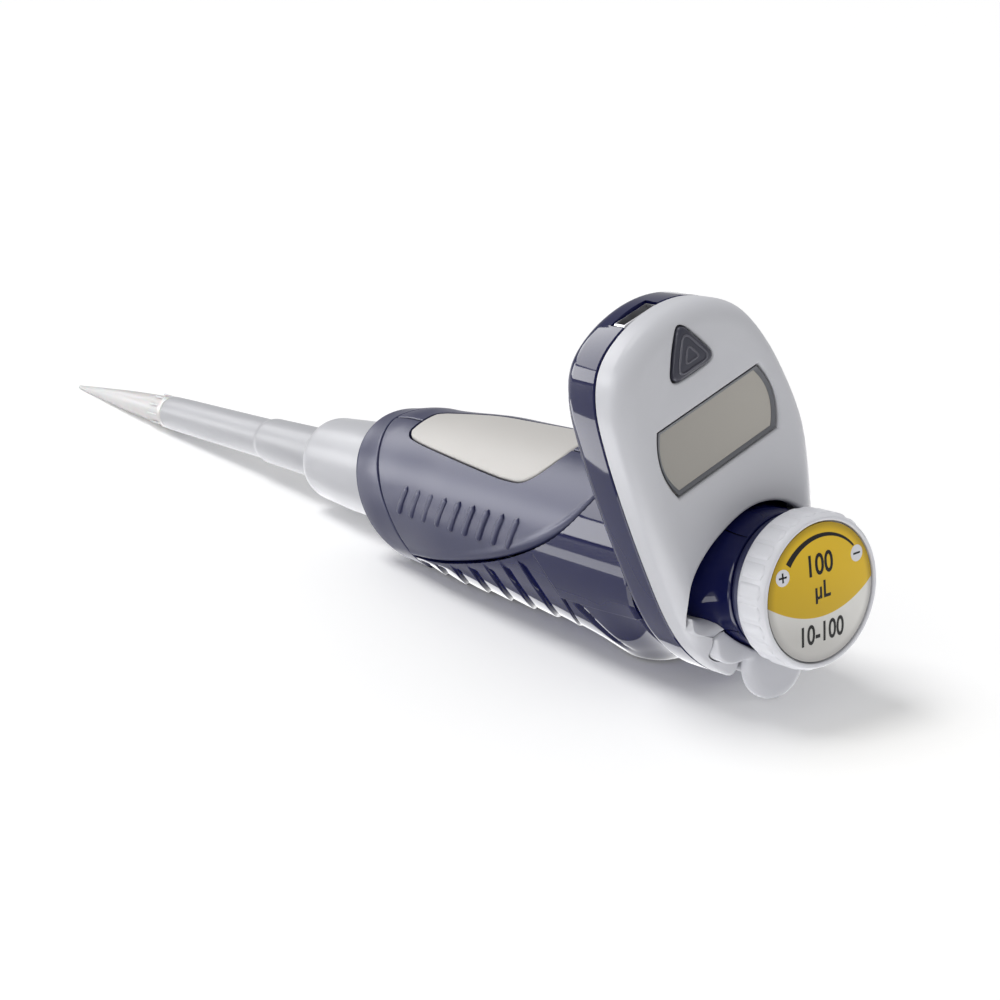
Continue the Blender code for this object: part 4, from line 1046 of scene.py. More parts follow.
def build_collar(finishes):
    """The collar, with a fine groove round its front and an inward lip that the cap slides through."""
    outer, inner = [], []
    for share in COLLAR_ROWS:
        groove = GROOVE_DEPTH * math.exp(-((share - COLLAR_GROOVE) / GROOVE_WIDTH) ** 2)
        out_row, in_row = [], []
        for step in range(144):
            angle = 2.5 * step
            front, seam = collar_front(angle), collar_seam(angle)
            x = lerp(front, seam, share)
            reach = handle_radius(x, angle)
            fall = edge_drop(x - front, 1.5) + edge_drop(seam - x, 0.4)
            out_row.append(polar(x, reach - fall - groove, angle))
            wide = smooth_step(front + 1.2, front + 2.4, x)
            in_row.append(polar(x, lerp(COLLAR_LIP, reach - HANDLE_WALL, wide), angle))
        outer.append(out_row)
        inner.append(in_row)
    collar = piece_from("satin_collar", walled(outer, inner, closed=True), finishes["satin"], sharp=50.0)
    room = lug_room()
    finished(cut(collar, room), "pipette", "satin_blue", "handle_collar", sharp=50.0)
    drop(room)


def rod_room(name, start, end, reach):
    """Room along the ejector's rod, up to a reach from the axis."""
    low = (start, -ROD_ROOM_HALF, ROD_FLOOR)
    high = (end, ROD_ROOM_HALF, reach + SLIDE_GAP)
    return piece_from(name, boxed(low, high, EJECTOR_ANGLE))


def lug_room():
    """Room for the cap's lug over the whole travel."""
    return rod_room("lug_room", CAP_BACK - LUG_LENGTH - EJECT_TRAVEL - SLIDE_GAP, CAP_BACK + 2.5, LUG_REACH)


def build_grips(finishes, shape):
    """Two grip halves with a beaded rim, cut for the pad, with raised bars on each side."""
    seat = piece_from("pad_seat", walled(pad_grid(-1.0, GAP), pad_grid(PAD_DEPTH + GAP, GAP)))
    for name, side, node in (("grip_skin_left", 1, "grip_left"), ("grip_skin_right", -1, "grip_right")):
        bm = walled(grip_grid(side, 0.0, rim=0.9), grip_grid(side, HANDLE_WALL))
        grip = piece_from(name, bm, finishes["satin"], sharp=50.0)
        finished(cut(grip, seat), "pipette", "satin_blue", node, sharp=50.0)
    drop(seat)
    pad = walled(pad_grid(0.0, 0.0, rim=0.7), pad_grid(PAD_DEPTH, 0.0))
    finished(piece_from("soft_top_pad", pad, finishes["pad"]), "pipette", "pad", "front_pad", sharp=50.0)
    for name, side in (("grip_bars_left", 1), ("grip_bars_right", -1)):
        finished(grip_bars(name, finishes["satin"], shape, side), "pipette", "satin_blue")


def lower_stations(shape):
    """Stations of the lower shell: close together at each rib's crest."""
    pitch = shape.rib_pitch / MM
    rows = [0.0, 0.25, 0.5]
    for rib in range(shape.rib_count):
        rows += [RIB_START + (rib + share) * pitch for share in RIB_ROWS]
    end = RIB_START + shape.rib_count * pitch
    rows += [end + 0.03, end + 0.12, end + 0.24, end + 0.4]
    rows += [lerp(end + 0.8, HANDLE_REAR, share / 36) for share in range(37)]
    return rows


def build_lower_shell(finishes, shape):
    """The ribbed shell, cut for the grips, the cap's lug, the ejector's spring and its stem."""
    ledge = [SHELL_EDGE + shift for shift in (-0.6, -0.2, 0.2, 0.6, 1.0)]
    angles = sorted([1.8 * step + 0.9 for step in range(200)] + ledge + [360.0 - angle for angle in ledge])
    outer, inner = [], []
    for index, station in enumerate(lower_stations(shape)):
        out_row, in_row = [], []
        for angle in angles:
            start = collar_seam(angle) + GAP
            lean = rib_lean(fold(angle)) * (1.0 - smooth_step(HANDLE_REAR - 20.5, HANDLE_REAR, station))
            x = start + station if index < 3 else max(start + 0.5 + 0.1 * index, station - lean)
            reach = handle_radius(x, angle)
            wall = HANDLE_WALL + 0.9 * smooth_step(104.0, 122.0, fold(angle))
            fall = edge_drop(x - start, 0.4) + edge_drop(HANDLE_REAR - x, 0.5)
            out_row.append(polar(x, reach + rib_lift(x, angle, shape) - fall, angle))
            in_row.append(polar(x, reach - wall, angle))
        outer.append(out_row)
        inner.append(in_row)
    shell = piece_from("ribbed_shell", walled(outer, inner, closed=True), finishes["gloss"], sharp=40.0)
    cutters = [lug_room(), rod_room("spring_room", CAP_BACK + 2.1, HANDLE_REAR - EJECT_TRAVEL, SPRING_REACH)]
    for name, side in (("grip_room_left", 1), ("grip_room_right", -1)):
        over = grip_grid(side, -4.0, 0.35, 4.0, (56, 30))
        under = grip_grid(side, HANDLE_WALL + 4.0, 0.35, 4.0, (56, 30))
        cutters.append(piece_from(name, walled(over, under)))
    cutters.append(ejector_channel("shell_stem_room", HANDLE_REAR - 10.0, HANDLE_REAR + 2.0, ROD_FLOOR))
    finished(cut(shell, *cutters), "pipette", "gloss_blue", "lower_shell", sharp=40.0)
    drop(*cutters)


def quarter(steps):
    """Sines and cosines over a quarter turn."""
    turns = [math.pi / 2 * step / steps for step in range(steps + 1)]
    return [(math.sin(turn), math.cos(turn)) for turn in turns]


def socket_box(name, grow, bottom, top, **looks):
    """A box round the socket's middle that is bigger than the socket by grow."""
    low = (SOCKET_MID - 1.5 - grow, SOCKET_SIDE - 3.9 - grow, SOCKET_TOP - bottom)
    high = (SOCKET_MID + 1.5 + grow, SOCKET_SIDE + 3.9 + grow, SOCKET_TOP + top)
    return piece_from(name, boxed(low, high, **looks))


def build_back_shell(finishes):
    """Back shell of the head, cut for the neck's core, the ejector, the saddle and the socket."""
    layers = []
    for sine, cosine in quarter(10):
        layers.append((HEAD_BACK + HEAD_ROUND * (1.0 - cosine), inset(HEAD, HEAD_ROUND * (1.0 - sine))))
    seam = HEAD_SEAM - GAP / 2
    layers += [(seam - 1.2, HEAD), (seam - 0.2, HEAD), (seam, inset(HEAD, SEAM_BEVEL))]
    back = piece_from("head_rear_skin", stacked(layers), finishes["gloss"])
    wall_line = inset(HEAD, HEAD_WALL)
    room = [(HEAD_BACK + HEAD_WALL, inset(HEAD, HEAD_WALL + 1.4)), (HEAD_BACK + HEAD_ROUND, wall_line),
            (HEAD_SEAM + 2.0, wall_line)]
    core = circle_outline(NECK_CORE)
    cutters = (
        piece_from("back_hollow", stacked(room)),
        piece_from("frame_passage", stacked([(HEAD_BACK - 3.0, core), (HEAD_SEAM, core)])),
        ejector_channel("stem_room", HEAD_BACK - 3.0, HEAD_SEAM + 2.0, ROD_FLOOR),
        lobe_room(),
        socket_box("socket_room", GAP, 8.5, 3.0),
        saddle_room("back_saddle_room", HEAD_BACK + HEAD_WALL, HEAD_SEAM + 2.0),
    )
    finished(cut(back, *cutters), "pipette", "gloss_blue", "head_back_shell")
    drop(*cutters)


def saddle_reach(turn):
    """The saddle's outer radius, which narrows again where the shells' rims come close."""
    rise = lerp(SADDLE_TOP_R, SADDLE_SIDE_R, smooth_step(SADDLE_START, 114.0, turn))
    return min(rise, lerp(SADDLE_SIDE_R, SADDLE_LOW_R, smooth_step(117.0, 133.0, turn)))


def saddle_room(name, start, end):
    """Room for the saddle round the lower side of the neck."""
    turns = [lerp(SADDLE_START, SADDLE_END, step / 50) for step in range(51)]
    over = [[polar(x, saddle_reach(turn) + 0.25, turn) for turn in turns] for x in (start, end)]
    floor = [flare_point(seam_station(turn), turn).yz.length + 0.05 for turn in turns]
    under = [[polar(x, radius, turn) for radius, turn in zip(floor, turns)] for x in (start, end)]
    return piece_from(name, walled(over, under))


def flare_point(x, turn, grow=0.0):
    """A point on the neck's flare, which reaches further to the side behind the face."""
    share = (x - FLARE_START) / (FLARE_END - FLARE_START)
    point = polar(x, lerp(FLARE_R, NECK_R, smooth_step(0.0, 1.0, share)) + grow, turn)
    shift = FLARE_SHIFT * (1.0 - smooth_step(0.0, 0.85, share))
    return point - Vector((0.0, shift * smooth_step(-9.0, 0.0, point.z), 0.0))


def seam_station(turn):
    """Where the white saddle ends on the flare and the blue begins."""
    for (low, before), (high, after) in zip(SADDLE_SEAM, SADDLE_SEAM[1:]):
        if turn <= high:
            return lerp(before, after, (turn - low) / (high - low))
    return SADDLE_SEAM[-1][1]


def scoop(turn, grow, back):
    """The flare's own side of the saddle's section, from the back to the seam."""
    edge = seam_station(turn)
    return [flare_point(lerp(back, edge, step / 5), turn, grow) for step in range(6)]


def ridge_radius(turn):
    """Where the saddle's face is highest, which draws in towards the bottom."""
    return lerp(RIDGE_TOP_R, RIDGE_LOW_R, smooth_step(SADDLE_START, 132.0, turn))


def saddle_body(name):
    """The lower part of the flare, which moves with the thumb piece: a scoop, a face and an outer side."""
    rings = []
    for step in range(49):
        turn = lerp(SADDLE_START + 0.9, SADDLE_END - 2.0, step / 48)
        ring = scoop(turn, 0.25, SADDLE_BACK)
        front = HEAD_FRONT + 0.05 + 2.2 * smooth_step(106.0, 142.0, turn)
        outer = saddle_reach(turn)
        ridge = min(ridge_radius(turn), outer - 0.5)
        front = max(front, ring[-1].x + 0.1)
        lip = ring[-1].yz.length
        for share in (0.1, 0.4, 0.7, 0.9, 1.0):
            x = lerp(ring[5].x, front, 1.0 - (1.0 - share) ** 1.8)
            ring.append(polar(x, lerp(lip + 0.05, ridge, share ** 1.4), turn))
        ring += [polar(front, lerp(ridge, outer - 0.3, 0.5), turn), polar(front, outer - 0.3, turn)]
        ring += [polar(front - 0.3, outer, turn), polar(SADDLE_BACK, outer, turn)]
        rings.append(ring)
    return piece_from(name, rings_to_mesh(rings, cap_ends=True))


def bezel_lip(finish):
    """The still part of the scoop, between the flare and the opening's lower corner."""
    rings = []
    for step in range(25):
        share = step / 24
        turn = lerp(LIP_START, SADDLE_START + 0.2, share)
        ring = scoop(turn, 0.1, HEAD_SEAM + 0.3)
        start = ring[-1]
        touch = smooth_step(LIP_START + 1.0, LIP_START + 8.0, turn)
        edge = arch_edge(turn - 4.0 * (1.0 - share), lerp(-0.15, 0.25, touch))
        over = Vector((HEAD_FRONT - 0.45, edge.x, edge.y))
        for part in (0.1, 0.3, 0.5, 0.7, 0.85, 1.0):
            spot = start.lerp(over, part)
            spot.x = lerp(start.x, over.x, 1.0 - (1.0 - part) ** 1.6)
            ring.append(spot)
        out = Vector((0.0, edge.x, edge.y)).normalized()
        for reach, x in ((0.3, HEAD_FRONT - 0.7), (0.5, HEAD_FRONT - 1.2), (0.5, HEAD_SEAM + 0.3)):
            ring.append(Vector((x, edge.x, edge.y)) + out * reach * touch)
        rings.append(ring)
    finished(piece_from("bezel_lip", rings_to_mesh(rings, cap_ends=True), finish), "pipette", "white")


def flared(name, outline, low, flare=0.5):
    """A cutter whose mouth opens out at the head's front, so that the edge that it leaves is rounded."""
    layers = [(low, outline(GAP))]
    for sine, cosine in quarter(6):
        layers.append((HEAD_FRONT - flare + flare * sine, outline(GAP + flare * (1.0 - cosine))))
    layers.append((HEAD_FRONT + 2.0, outline(GAP + flare)))
    return piece_from(name, stacked(layers))


def arch_outline(grow=0.0):
    """The opening for the neck: round, and drawn out to the near side above the axis."""
    arch = []
    for index in range(96):
        turn = 2 * math.pi * index / 96
        w, q = (ARCH_R + grow) * math.sin(turn), (ARCH_R + grow) * math.cos(turn)
        aside = smooth_step(0.0, -ARCH_R, w) * smooth_step(-5.5, 0.5, q)
        arch.append(Vector((w - aside * ARCH_SHIFT, q)))
    return arch


def arch_edge(angle, grow):
    """Where a ray at an angle meets the opening's outline."""
    ray = polar(0.0, 40.0, angle).yz
    outline = arch_outline(grow)
    for first, second in zip(outline, outline[1:] + outline[:1]):
        meeting = intersect_line_line_2d(Vector((0.0, 0.0)), ray, first, second)
        if meeting:
            return meeting
    raise RuntimeError("the opening's outline has a gap")


def build_bezel(finishes):
    """Bezel with its rounded edge, cut for the window, the button, the neck, the lobe and the saddle."""
    seam = HEAD_SEAM + GAP / 2
    layers = [(seam, inset(HEAD, SEAM_BEVEL)), (seam + 0.2, HEAD), (seam + 1.5, HEAD)]
    for sine, cosine in quarter(12):
        layers.append((HEAD_FRONT - BEZEL_ROUND * (1.0 - sine), inset(HEAD, BEZEL_SLOPE * (1.0 - cosine))))
    bezel = piece_from("head_front_skin", stacked(layers), finishes["face"])
    wall_line = inset(HEAD, HEAD_WALL)
    room = [(HEAD_SEAM - 2.0, wall_line), (HEAD_FRONT - 3.6, wall_line),
            (HEAD_FRONT - HEAD_WALL, inset(HEAD, HEAD_WALL + 1.8))]
    cutters = (
        piece_from("bezel_hollow", stacked(room)),
        flared("window_room", window_outline, KEY_BACK),
        flared("button_room", button_outline, KEY_BACK),
        flared("arch_room", arch_outline, HEAD_SEAM - 2.0, 0.8),
        lobe_room(),
        saddle_room("saddle_room", HEAD_SEAM - 3.0, HEAD_FRONT + 3.0),
    )
    finished(cut(bezel, *cutters), "pipette", "white", "head_bezel")
    bezel_lip(finishes["face"])
    drop(*cutters)


def build_socket(finishes):
    """The charging socket: a steel shell with a mouth, and its tongue."""
    socket = socket_box("charging_port", 0.0, 7.5, -0.2, edge=0.35)
    socket.data.materials.append(finishes["steel"])
    mouth = socket_box("socket_mouth", -0.4, 6.0, 1.8)
    finished(cut(socket, mouth), "pipette", "steel", "usb_socket")
    drop(mouth)
    low = (SOCKET_MID - 0.3, SOCKET_SIDE - 2.6, SOCKET_TOP - 6.2)
    high = (SOCKET_MID + 0.3, SOCKET_SIDE + 2.6, SOCKET_TOP - 2.0)
    finished(piece_from("port_tongue", boxed(low, high, edge=0.12), finishes["ink"]), "pipette", "steel")


def build_display(finishes):
    """The display's window and the dark frame that slopes down to it."""
    front = HEAD_FRONT - 0.9
    edge = window_outline()
    layers = [(front - 1.4, edge), (front - 0.12, edge), (front, window_outline(-0.12))]
    lens = piece_from("display_lens", stacked(layers), finishes["lcd"])
    finished(lens, "pipette", "lcd", "display_window")
    inner, outer = window_outline(-0.6), window_outline(-0.05)
    low = front + 0.01
    rings = []
    for outline, x in ((inner, low), (inner, low + 0.05), (outer, low + 0.45), (outer, low)):
        rings.append([Vector((x, point.x, point.y)) for point in outline])
    finished(piece_from("display_frame", rings_to_mesh(rings, True), finishes["bevel"]), "pipette", "module")


def build_button(finishes):
    """The triangular key with a plain double ridge."""
    front = HEAD_FRONT + KEY_RISE
    layers = [(KEY_BACK, button_outline())]
    for sine, cosine in quarter(6):
        layers.append((front - 0.75 + 0.65 * sine, button_outline(-0.9 * (1.0 - cosine))))
    layers.append((front - 0.02, button_outline(-2.4)))
    button = piece_from("triangle_key", stacked(layers), finishes["slate"])
    finished(button, "button", "slate", "select_button")
    for name, scale in (("key_ridge_outer", 0.7), ("key_ridge_inner", 0.3)):
        rings = []
        for step in range(8):
            turn = 2 * math.pi * step / 8
            outline = button_outline(0.22 * math.cos(turn), scale)
            rings.append([Vector((front - 0.02 + 0.16 * math.sin(turn), p.x, p.y)) for p in outline])
        finished(piece_from(name, rings_to_mesh(rings, True), finishes["key_edge"]), "button", "slate")


def build_neck(finishes):
    """The neck with its flare, three fine seams and the saddle's room, and the satin band behind the knob."""
    turns = [360.0 * step / 128 for step in range(128)]
    stations = [lerp(FLARE_START, FLARE_END, step / 20) for step in range(21)]
    rings = [[flare_point(x, turn) for turn in turns] for x in stations]
    seat = NECK_END - 5.5
    core = NECK_R - 1.4
    inside = (
        (FLARE_END + 0.15, NECK_R - 0.1), (FLARE_END + 0.2, NECK_R - 0.35), (FLARE_END + 0.2, core),
        (NECK_END, core), (NECK_END, SPRING_SEAT_R), (seat, SPRING_SEAT_R), (seat, NECK_BORE),
        (FLARE_START, NECK_BORE),
    )
    rings += [[polar(x, radius, turn) for turn in turns] for x, radius in inside]
    neck = piece_from("flared_neck", rings_to_mesh(rings, True), finishes["gloss"])
    behind = FLARE_START - 3.0
    cutters = [
        ejector_channel("neck_stem_room", behind, HEAD_FRONT + 3.0, STEM_FLOOR),
        ejector_channel("neck_lobe_room", behind, LOBE_BACK, NECK_R - 1.0, True),
        saddle_room("neck_saddle_room", behind, HEAD_FRONT + 3.0),
    ]
    for angle in (20.0, 104.0, -70.0):
        seam = boxed((HEAD_FRONT - 9.0, -0.14, NECK_R - 0.25), (FLARE_END, 0.14, 18.0), angle)
        cutters.append(piece_from("neck_seam", seam))
    finished(cut(neck, *cutters), "pipette", "gloss_blue", "neck_shell")
    drop(*cutters)
    profile = (
        (FLARE_END + 0.45, NECK_R - 1.3, 0.1), (FLARE_END + 0.45, NECK_R - 0.25, 0.2),
        (FLARE_END + 1.0, NECK_R - 0.02, 0.4), (FLARE_END + 2.4, NECK_R - 0.12, 0.8),
        (NECK_END - 0.1, NECK_R - 0.12, 0.2), (NECK_END - 0.1, NECK_R - 1.3, 0.1),
    )
    band = piece_from("neck_band", lathe(rounded(profile), 128), finishes["satin"])
    finished(band, "pipette", "gloss_blue")


def dome(w, q):
    """Height of the domed label at a point on it."""
    return KNOB_FRONT + LABEL_RISE - 0.5 * (w * w + q * q) / LABEL_CURVE


def on_label(u, v, lift=0.0):
    """A point of the label's own frame on its domed face."""
    w = u * math.cos(LABEL_TURN) + v * math.sin(LABEL_TURN)
    q = v * math.cos(LABEL_TURN) - u * math.sin(LABEL_TURN)
    return Vector((dome(w, q) + lift, w, q))


def build_knob(finishes, shape):
    """The ring round the label, with ridges for the fingers."""
    height = shape.flute_height / MM
    base = KNOB_R - height
    rim = KNOB_R - KNOB_RIM
    skirt = NECK_R + SLIDE_GAP
    floor = KNOB_FRONT - 1.3
    profile = (
        (KNOB_BACK, base - 0.1, 0.3), (KNOB_BACK + 0.8, base, 0.4), (KNOB_FRONT - 1.0, base, 0.7),
        (KNOB_FRONT, base - 0.5, 0.6), (KNOB_FRONT, rim, 0.3), (floor, rim, 0.1),
        (floor, KNOB_BORE, 0.0), (KNOB_WEB, KNOB_BORE, 0.0), (KNOB_WEB, skirt, 0.1), (KNOB_BACK, skirt, 0.2),
    )
    ring = piece_from("knob_body", lathe(rounded(profile), 144), finishes["knob"])
    finished(ring, "knob", "white", "knob_ring")
    span = (KNOB_BACK + 0.15, KNOB_FRONT - 0.75)
    half_size = (1.5, height + 0.2)
    bars = radial_bars("knob_flutes", finishes["knob"], shape.flute_count, base - 0.2, span, half_size)
    finished(bars, "knob", "white")


def build_label(finishes):
    """The domed label and what is printed on it."""
    disc = KNOB_R - KNOB_RIM - GAP
    profile = [(KNOB_FRONT - 1.0, 0.0), (KNOB_FRONT - 1.0, disc), (KNOB_FRONT - 0.3, disc)]
    for step in range(12):
        radius = (disc - 0.35) * (1.0 - step / 11)
        profile.append((dome(radius, 0.0) - (0.0 if step else 0.08), radius))
    label = piece_from("domed_label", lathe(profile), finishes["label"])
    finished(label, "knob", "label", "knob_label")
    build_label_marks(finishes)


def strip(points_out, points_in, lift):
    """A thin raised patch between two rows of label points."""
    rows = (points_out, points_in)
    top, under = ([[on_label(u, v, rise) for u, v in row] for row in rows] for rise in (lift, -0.05))
    return walled(top, under)


def on_circle(radius, turn, centre=(0.0, 0.0)):
    """A label point on a circle, at a turn from the label's top."""
    return centre[0] + radius * math.sin(turn), centre[1] + radius * math.cos(turn)


def sign_disc(centre):
    """A pale round patch on the label."""
    turns = [2 * math.pi * index / 40 for index in range(40)]
    rings = [[on_label(*centre, -0.05)]]
    for radius, lift in ((SIGN_DISC_R, -0.05), (SIGN_DISC_R, 0.012), (SIGN_DISC_R - 0.07, 0.016)):
        rings.append([on_label(*on_circle(radius, turn, centre), lift) for turn in turns])
    rings.append([on_label(*centre, 0.016)])
    return rings_to_mesh(rings)


def sign_stroke(centre, upright):
    """One stroke of a plus or minus sign. An upright one lies a little higher."""
    along = Vector((0.0, 0.85)) if upright else Vector((0.85, 0.0))
    across = Vector((0.17, 0.0)) if upright else Vector((0.0, 0.17))
    spine = [Vector(centre) + along * (step - 2) / 2 for step in range(5)]
    rows = [[point + across * side for point in spine] for side in (1, -1)]
    return strip(*rows, 0.032 if upright else 0.03)


def build_label_marks(finishes):
    """Arc wedge, turning signs and plain numbers, printed on the dome."""
    outside, inside = [], []
    for step in range(33):
        share = step / 32
        turn = math.radians(lerp(-49.0, 51.0, share))
        thick = lerp(1.2, 0.35, share ** 0.8)
        outside.append(on_circle(ARC_R, turn))
        inside.append(on_circle(ARC_R - thick, turn))
    marks = [("label_arc", strip(outside, inside, 0.015), "ink")]
    for name, angle, strokes in (("plus", -62.0, 2), ("minus", 60.0, 1)):
        centre = on_circle(SIGN_R, math.radians(angle))
        marks.append((f"{name}_disc", sign_disc(centre), "knob"))
        for index in range(strokes):
            marks.append((f"{name}_mark_{index}", sign_stroke(centre, index == 1), "ink"))
    for name, bm, finish in marks:
        finished(piece_from(name, bm, finishes[finish]), "knob", "label")
    for name, words, size, squeeze, middle in (
        ("number_top", "100", 5.2, 0.82, (-0.1, 5.2)), ("unit_mark", "µL", 4.2, 0.85, (0.0, 0.3)),
        ("number_range", "10-100", 4.9, 0.76, (-0.2, -6.75)),
    ):
        finished(printed(name, words, size, squeeze, middle, finishes["ink"]), "knob", "label")


def printed(name, words, size, squeeze, middle, finish):
    """Plain numbers laid on the dome as thin raised ink."""
    curve = bpy.data.curves.new(name, "FONT")
    curve.body = words
    curve.size = size
    curve.extrude = 0.02
    curve.offset = 0.09
    curve.resolution_u = 4
    curve.align_x = "CENTER"
    curve.align_y = "CENTER"
    helper = linked(name, curve)
    mesh = evaluated_mesh(helper)
    drop(helper)
    width = [vertex.co.x for vertex in mesh.vertices]
    height = [vertex.co.y for vertex in mesh.vertices]
    centre = Vector(((min(width) + max(width)) / 2, (min(height) + max(height)) / 2, 0.0))
    for vertex in mesh.vertices:
        spot = vertex.co - centre
        vertex.co = on_label(middle[0] + spot.x * squeeze, middle[1] + spot.y, spot.z + 0.01)
    mesh.materials.clear()
    bm = bmesh.new()
    bm.from_mesh(mesh)
    bpy.data.meshes.remove(mesh)
    return piece_from(name, bm, finish)


def lobe_shape():
    """The round lobe, whose lower edge rests on the table's plane."""
    out = TIP_MOUTH_R + TABLE_SLOPE * LOBE_BACK - 0.2 - LOBE_R
    turn = math.radians(EJECTOR_ANGLE)
    middle = (-out * math.sin(turn), out * math.cos(turn))
    rims = ((0.0, 1.0), (0.25, 0.35), (0.7, 0.0), (1.9, 0.0), (2.5, 0.3), (2.9, 0.8), (3.2, 1.6))
    return stacked([(LOBE_BACK + x, circle_outline(LOBE_R - shrink, middle, 72)) for x, shrink in rims])


def build_thumb_piece(finishes):
    """The ejector's thumb piece: a saddle-shaped stem that flows into a round lobe, blended by remeshing."""
    start = HANDLE_REAR + 2.3
    low = (start, -STEM_HALF, STEM_FLOOR)
    high = (LOBE_BACK + 1.5, STEM_HALF, STEM_FLOOR + STEM_DEPTH)
    stem = piece_from("thumb_piece", boxed(low, high, EJECTOR_ANGLE, 0.9), finishes["knob"])
    foot = boxed((start, -2.75, ROD_FLOOR), (start + 2.6, 2.75, STEM_FLOOR + 1.0), EJECTOR_ANGLE, 0.3)
    others = (piece_from("stem_foot", foot), piece_from("lobe_shape", lobe_shape()), saddle_body("saddle"))
    join_or_cut(stem, "UNION", others)
    clear = NECK_R + 0.15
    low, high = start + 3.6, 290.0
    inside = ((low, 0.0), (low, clear), (high, clear), (high, 0.0))
    room = piece_from("lobe_neck_room", lathe(inside))
    cut(stem, room)
    change = stem.modifiers.new("remesh", "REMESH")
    change.mode = "VOXEL"
    change.voxel_size = 0.22
    change = stem.modifiers.new("smooth", "SMOOTH")
    change.iterations = 6
    finished(stem, "ejector", "white", "ejector_button", sharp=70.0)
    drop(*others, room)


# Repeats made with Geometry Nodes

class Repeat(Nodes):
    """A geometry node tree with named inputs that ends in Realize Instances and Set Material."""

    def __init__(self, name, **inputs):
        super().__init__(bpy.data.node_groups.new(name, "GeometryNodeTree"))
        self.name = name
        self.values = inputs
        self.identifiers = {}
        for title, value in inputs.items():
            kind = "NodeSocketInt" if isinstance(value, int) else "NodeSocketFloat"
            kind = "NodeSocketMaterial" if isinstance(value, bpy.types.Material) else kind
            made = self.tree.interface.new_socket(title, in_out="INPUT", socket_type=kind)
            self.identifiers[title] = made.identifier
        self.tree.interface.new_socket("Geometry", in_out="OUTPUT", socket_type="NodeSocketGeometry")
        self.entry = self.tree.nodes.new("NodeGroupInput")

    def given(self, *titles):
        """The tree's own inputs as values: one alone, or a list of them."""
        flows = [Flow(self, self.entry.outputs[title]) for title in titles]
        return flows if len(flows) > 1 else flows[0]

    def moved(self, geometry, **change):
        """The geometry after a Translation, Rotation or Scale."""
        return self.node("GeometryNodeTransform", None, {"Geometry": geometry, **change})

    def bar(self):
        """One rounded bar along x of the tree's Length, Width and Height, thick in the middle and closed."""
        length, width, height = self.given("Length", "Width", "Height")
        line = self.node("GeometryNodeCurvePrimitiveLine", None, {"End": self.vector(length)})
        line = self.node("GeometryNodeResampleCurve", None, {"Curve": line, "Count": 13})
        middle = (self.node("GeometryNodeSplineParameter") - 0.5) * 2.0
        thick = (1.0 - (middle * middle) ** 6.0 * 0.97) ** 0.5
        profile = self.node("GeometryNodeCurvePrimitiveCircle", None, {"Resolution": 12, "Radius": 1.0})
        sweep = {"Curve": line, "Profile Curve": profile, "Scale": thick, "Fill Caps": True}
        mesh = self.node("GeometryNodeCurveToMesh", None, sweep)
        return self.moved(mesh, Scale=self.vector(1.0, width, height))

    def copies(self, points, bar, **change):
        """The bar on each of the points."""
        return self.node("GeometryNodeInstanceOnPoints", None, {"Points": points, "Instance": bar, **change})

    def close(self, geometry):
        """Realizes the copies, gives them their material and returns the object that carries the tree."""
        solid = self.node("GeometryNodeRealizeInstances", None, {0: geometry})
        solid = self.node("GeometryNodeSetMaterial", None, {0: solid, "Material": self.given("Material")})
        leave = self.tree.nodes.new("NodeGroupOutput")
        self.feed(leave.inputs[0], solid)
        piece = linked(self.name, bpy.data.meshes.new(self.name))
        change = piece.modifiers.new(self.name, "NODES")
        change.node_group = self.tree
        for title, value in self.values.items():
            change[self.identifiers[title]] = value
        bpy.context.view_layer.update()
        return piece


def radial_bars(name, finish, count, radius, span, half_size):
    """Bars along the axis, evenly spaced round a turned piece."""
    first, last = span
    width, height = half_size
    kit = Repeat(name, Count=count, Radius=radius, Start=first, Length=last - first, Width=width,
                 Height=height, Material=finish)
    start, out, number = kit.given("Start", "Radius", "Count")
    bar = kit.moved(kit.bar(), Translation=kit.vector(start, 0.0, out))
    points = kit.node("GeometryNodePoints", None, {"Count": number})
    turn = kit.node("GeometryNodeInputIndex") * (2 * math.pi) / number
    return kit.close(kit.copies(points, bar, Rotation=kit.vector(turn)))


def grip_bars(name, finish, shape, side):
    """Slanting raised bars on the grip: laid out flat, then bent round the handle."""
    first, last, angle = BARS_START, BARS_END, BARS_ANGLE
    at_start, at_middle, at_end = (handle_radius(x, angle) for x in (first, (first + last) / 2, last))
    kit = Repeat(name, Count=shape.grip_bars, Start=first, End=last, Length=7.2, Width=0.75, Height=0.5,
                 RadiusStart=at_start, RadiusMiddle=at_middle, RadiusEnd=at_end, Angle=angle,
                 Slant=64.0, Side=float(side), Mean=at_middle, Material=finish)
    degree = math.radians(1.0)
    count, start, end = kit.given("Count", "Start", "End")
    bar = kit.moved(kit.bar(), Translation=kit.vector(kit.given("Length") * -0.5))
    bar = kit.moved(bar, Rotation=kit.vector(0.0, 0.0, kit.given("Slant") * degree))
    points = kit.node("GeometryNodePoints", None, {"Count": count})
    place = kit.vector(start + kit.node("GeometryNodeInputIndex") / (count - 1.0) * (end - start))
    points = kit.node("GeometryNodeSetPosition", None, {"Geometry": points, "Position": place})
    flat = kit.node("GeometryNodeRealizeInstances", None, {0: kit.copies(points, bar)})
    along, around, up = kit.split(kit.node("GeometryNodeInputPosition"))
    share = (along - start) / (end - start)
    low, middle, high = kit.given("RadiusStart", "RadiusMiddle", "RadiusEnd")
    crown = (middle * 2.0 - low - high) * 2.0
    radius = low + share * (high - low) + crown * share * (1.0 - share) + up
    turn = kit.given("Angle") * degree - around / kit.given("Mean")
    across = -(radius * kit.maths("SINE", turn) * kit.given("Side"))
    bent = kit.vector(along, across, radius * kit.maths("COSINE", turn))
    return kit.close(kit.node("GeometryNodeSetPosition", None, {"Geometry": flat, "Position": bent}))


# Inner parts that keep their solids

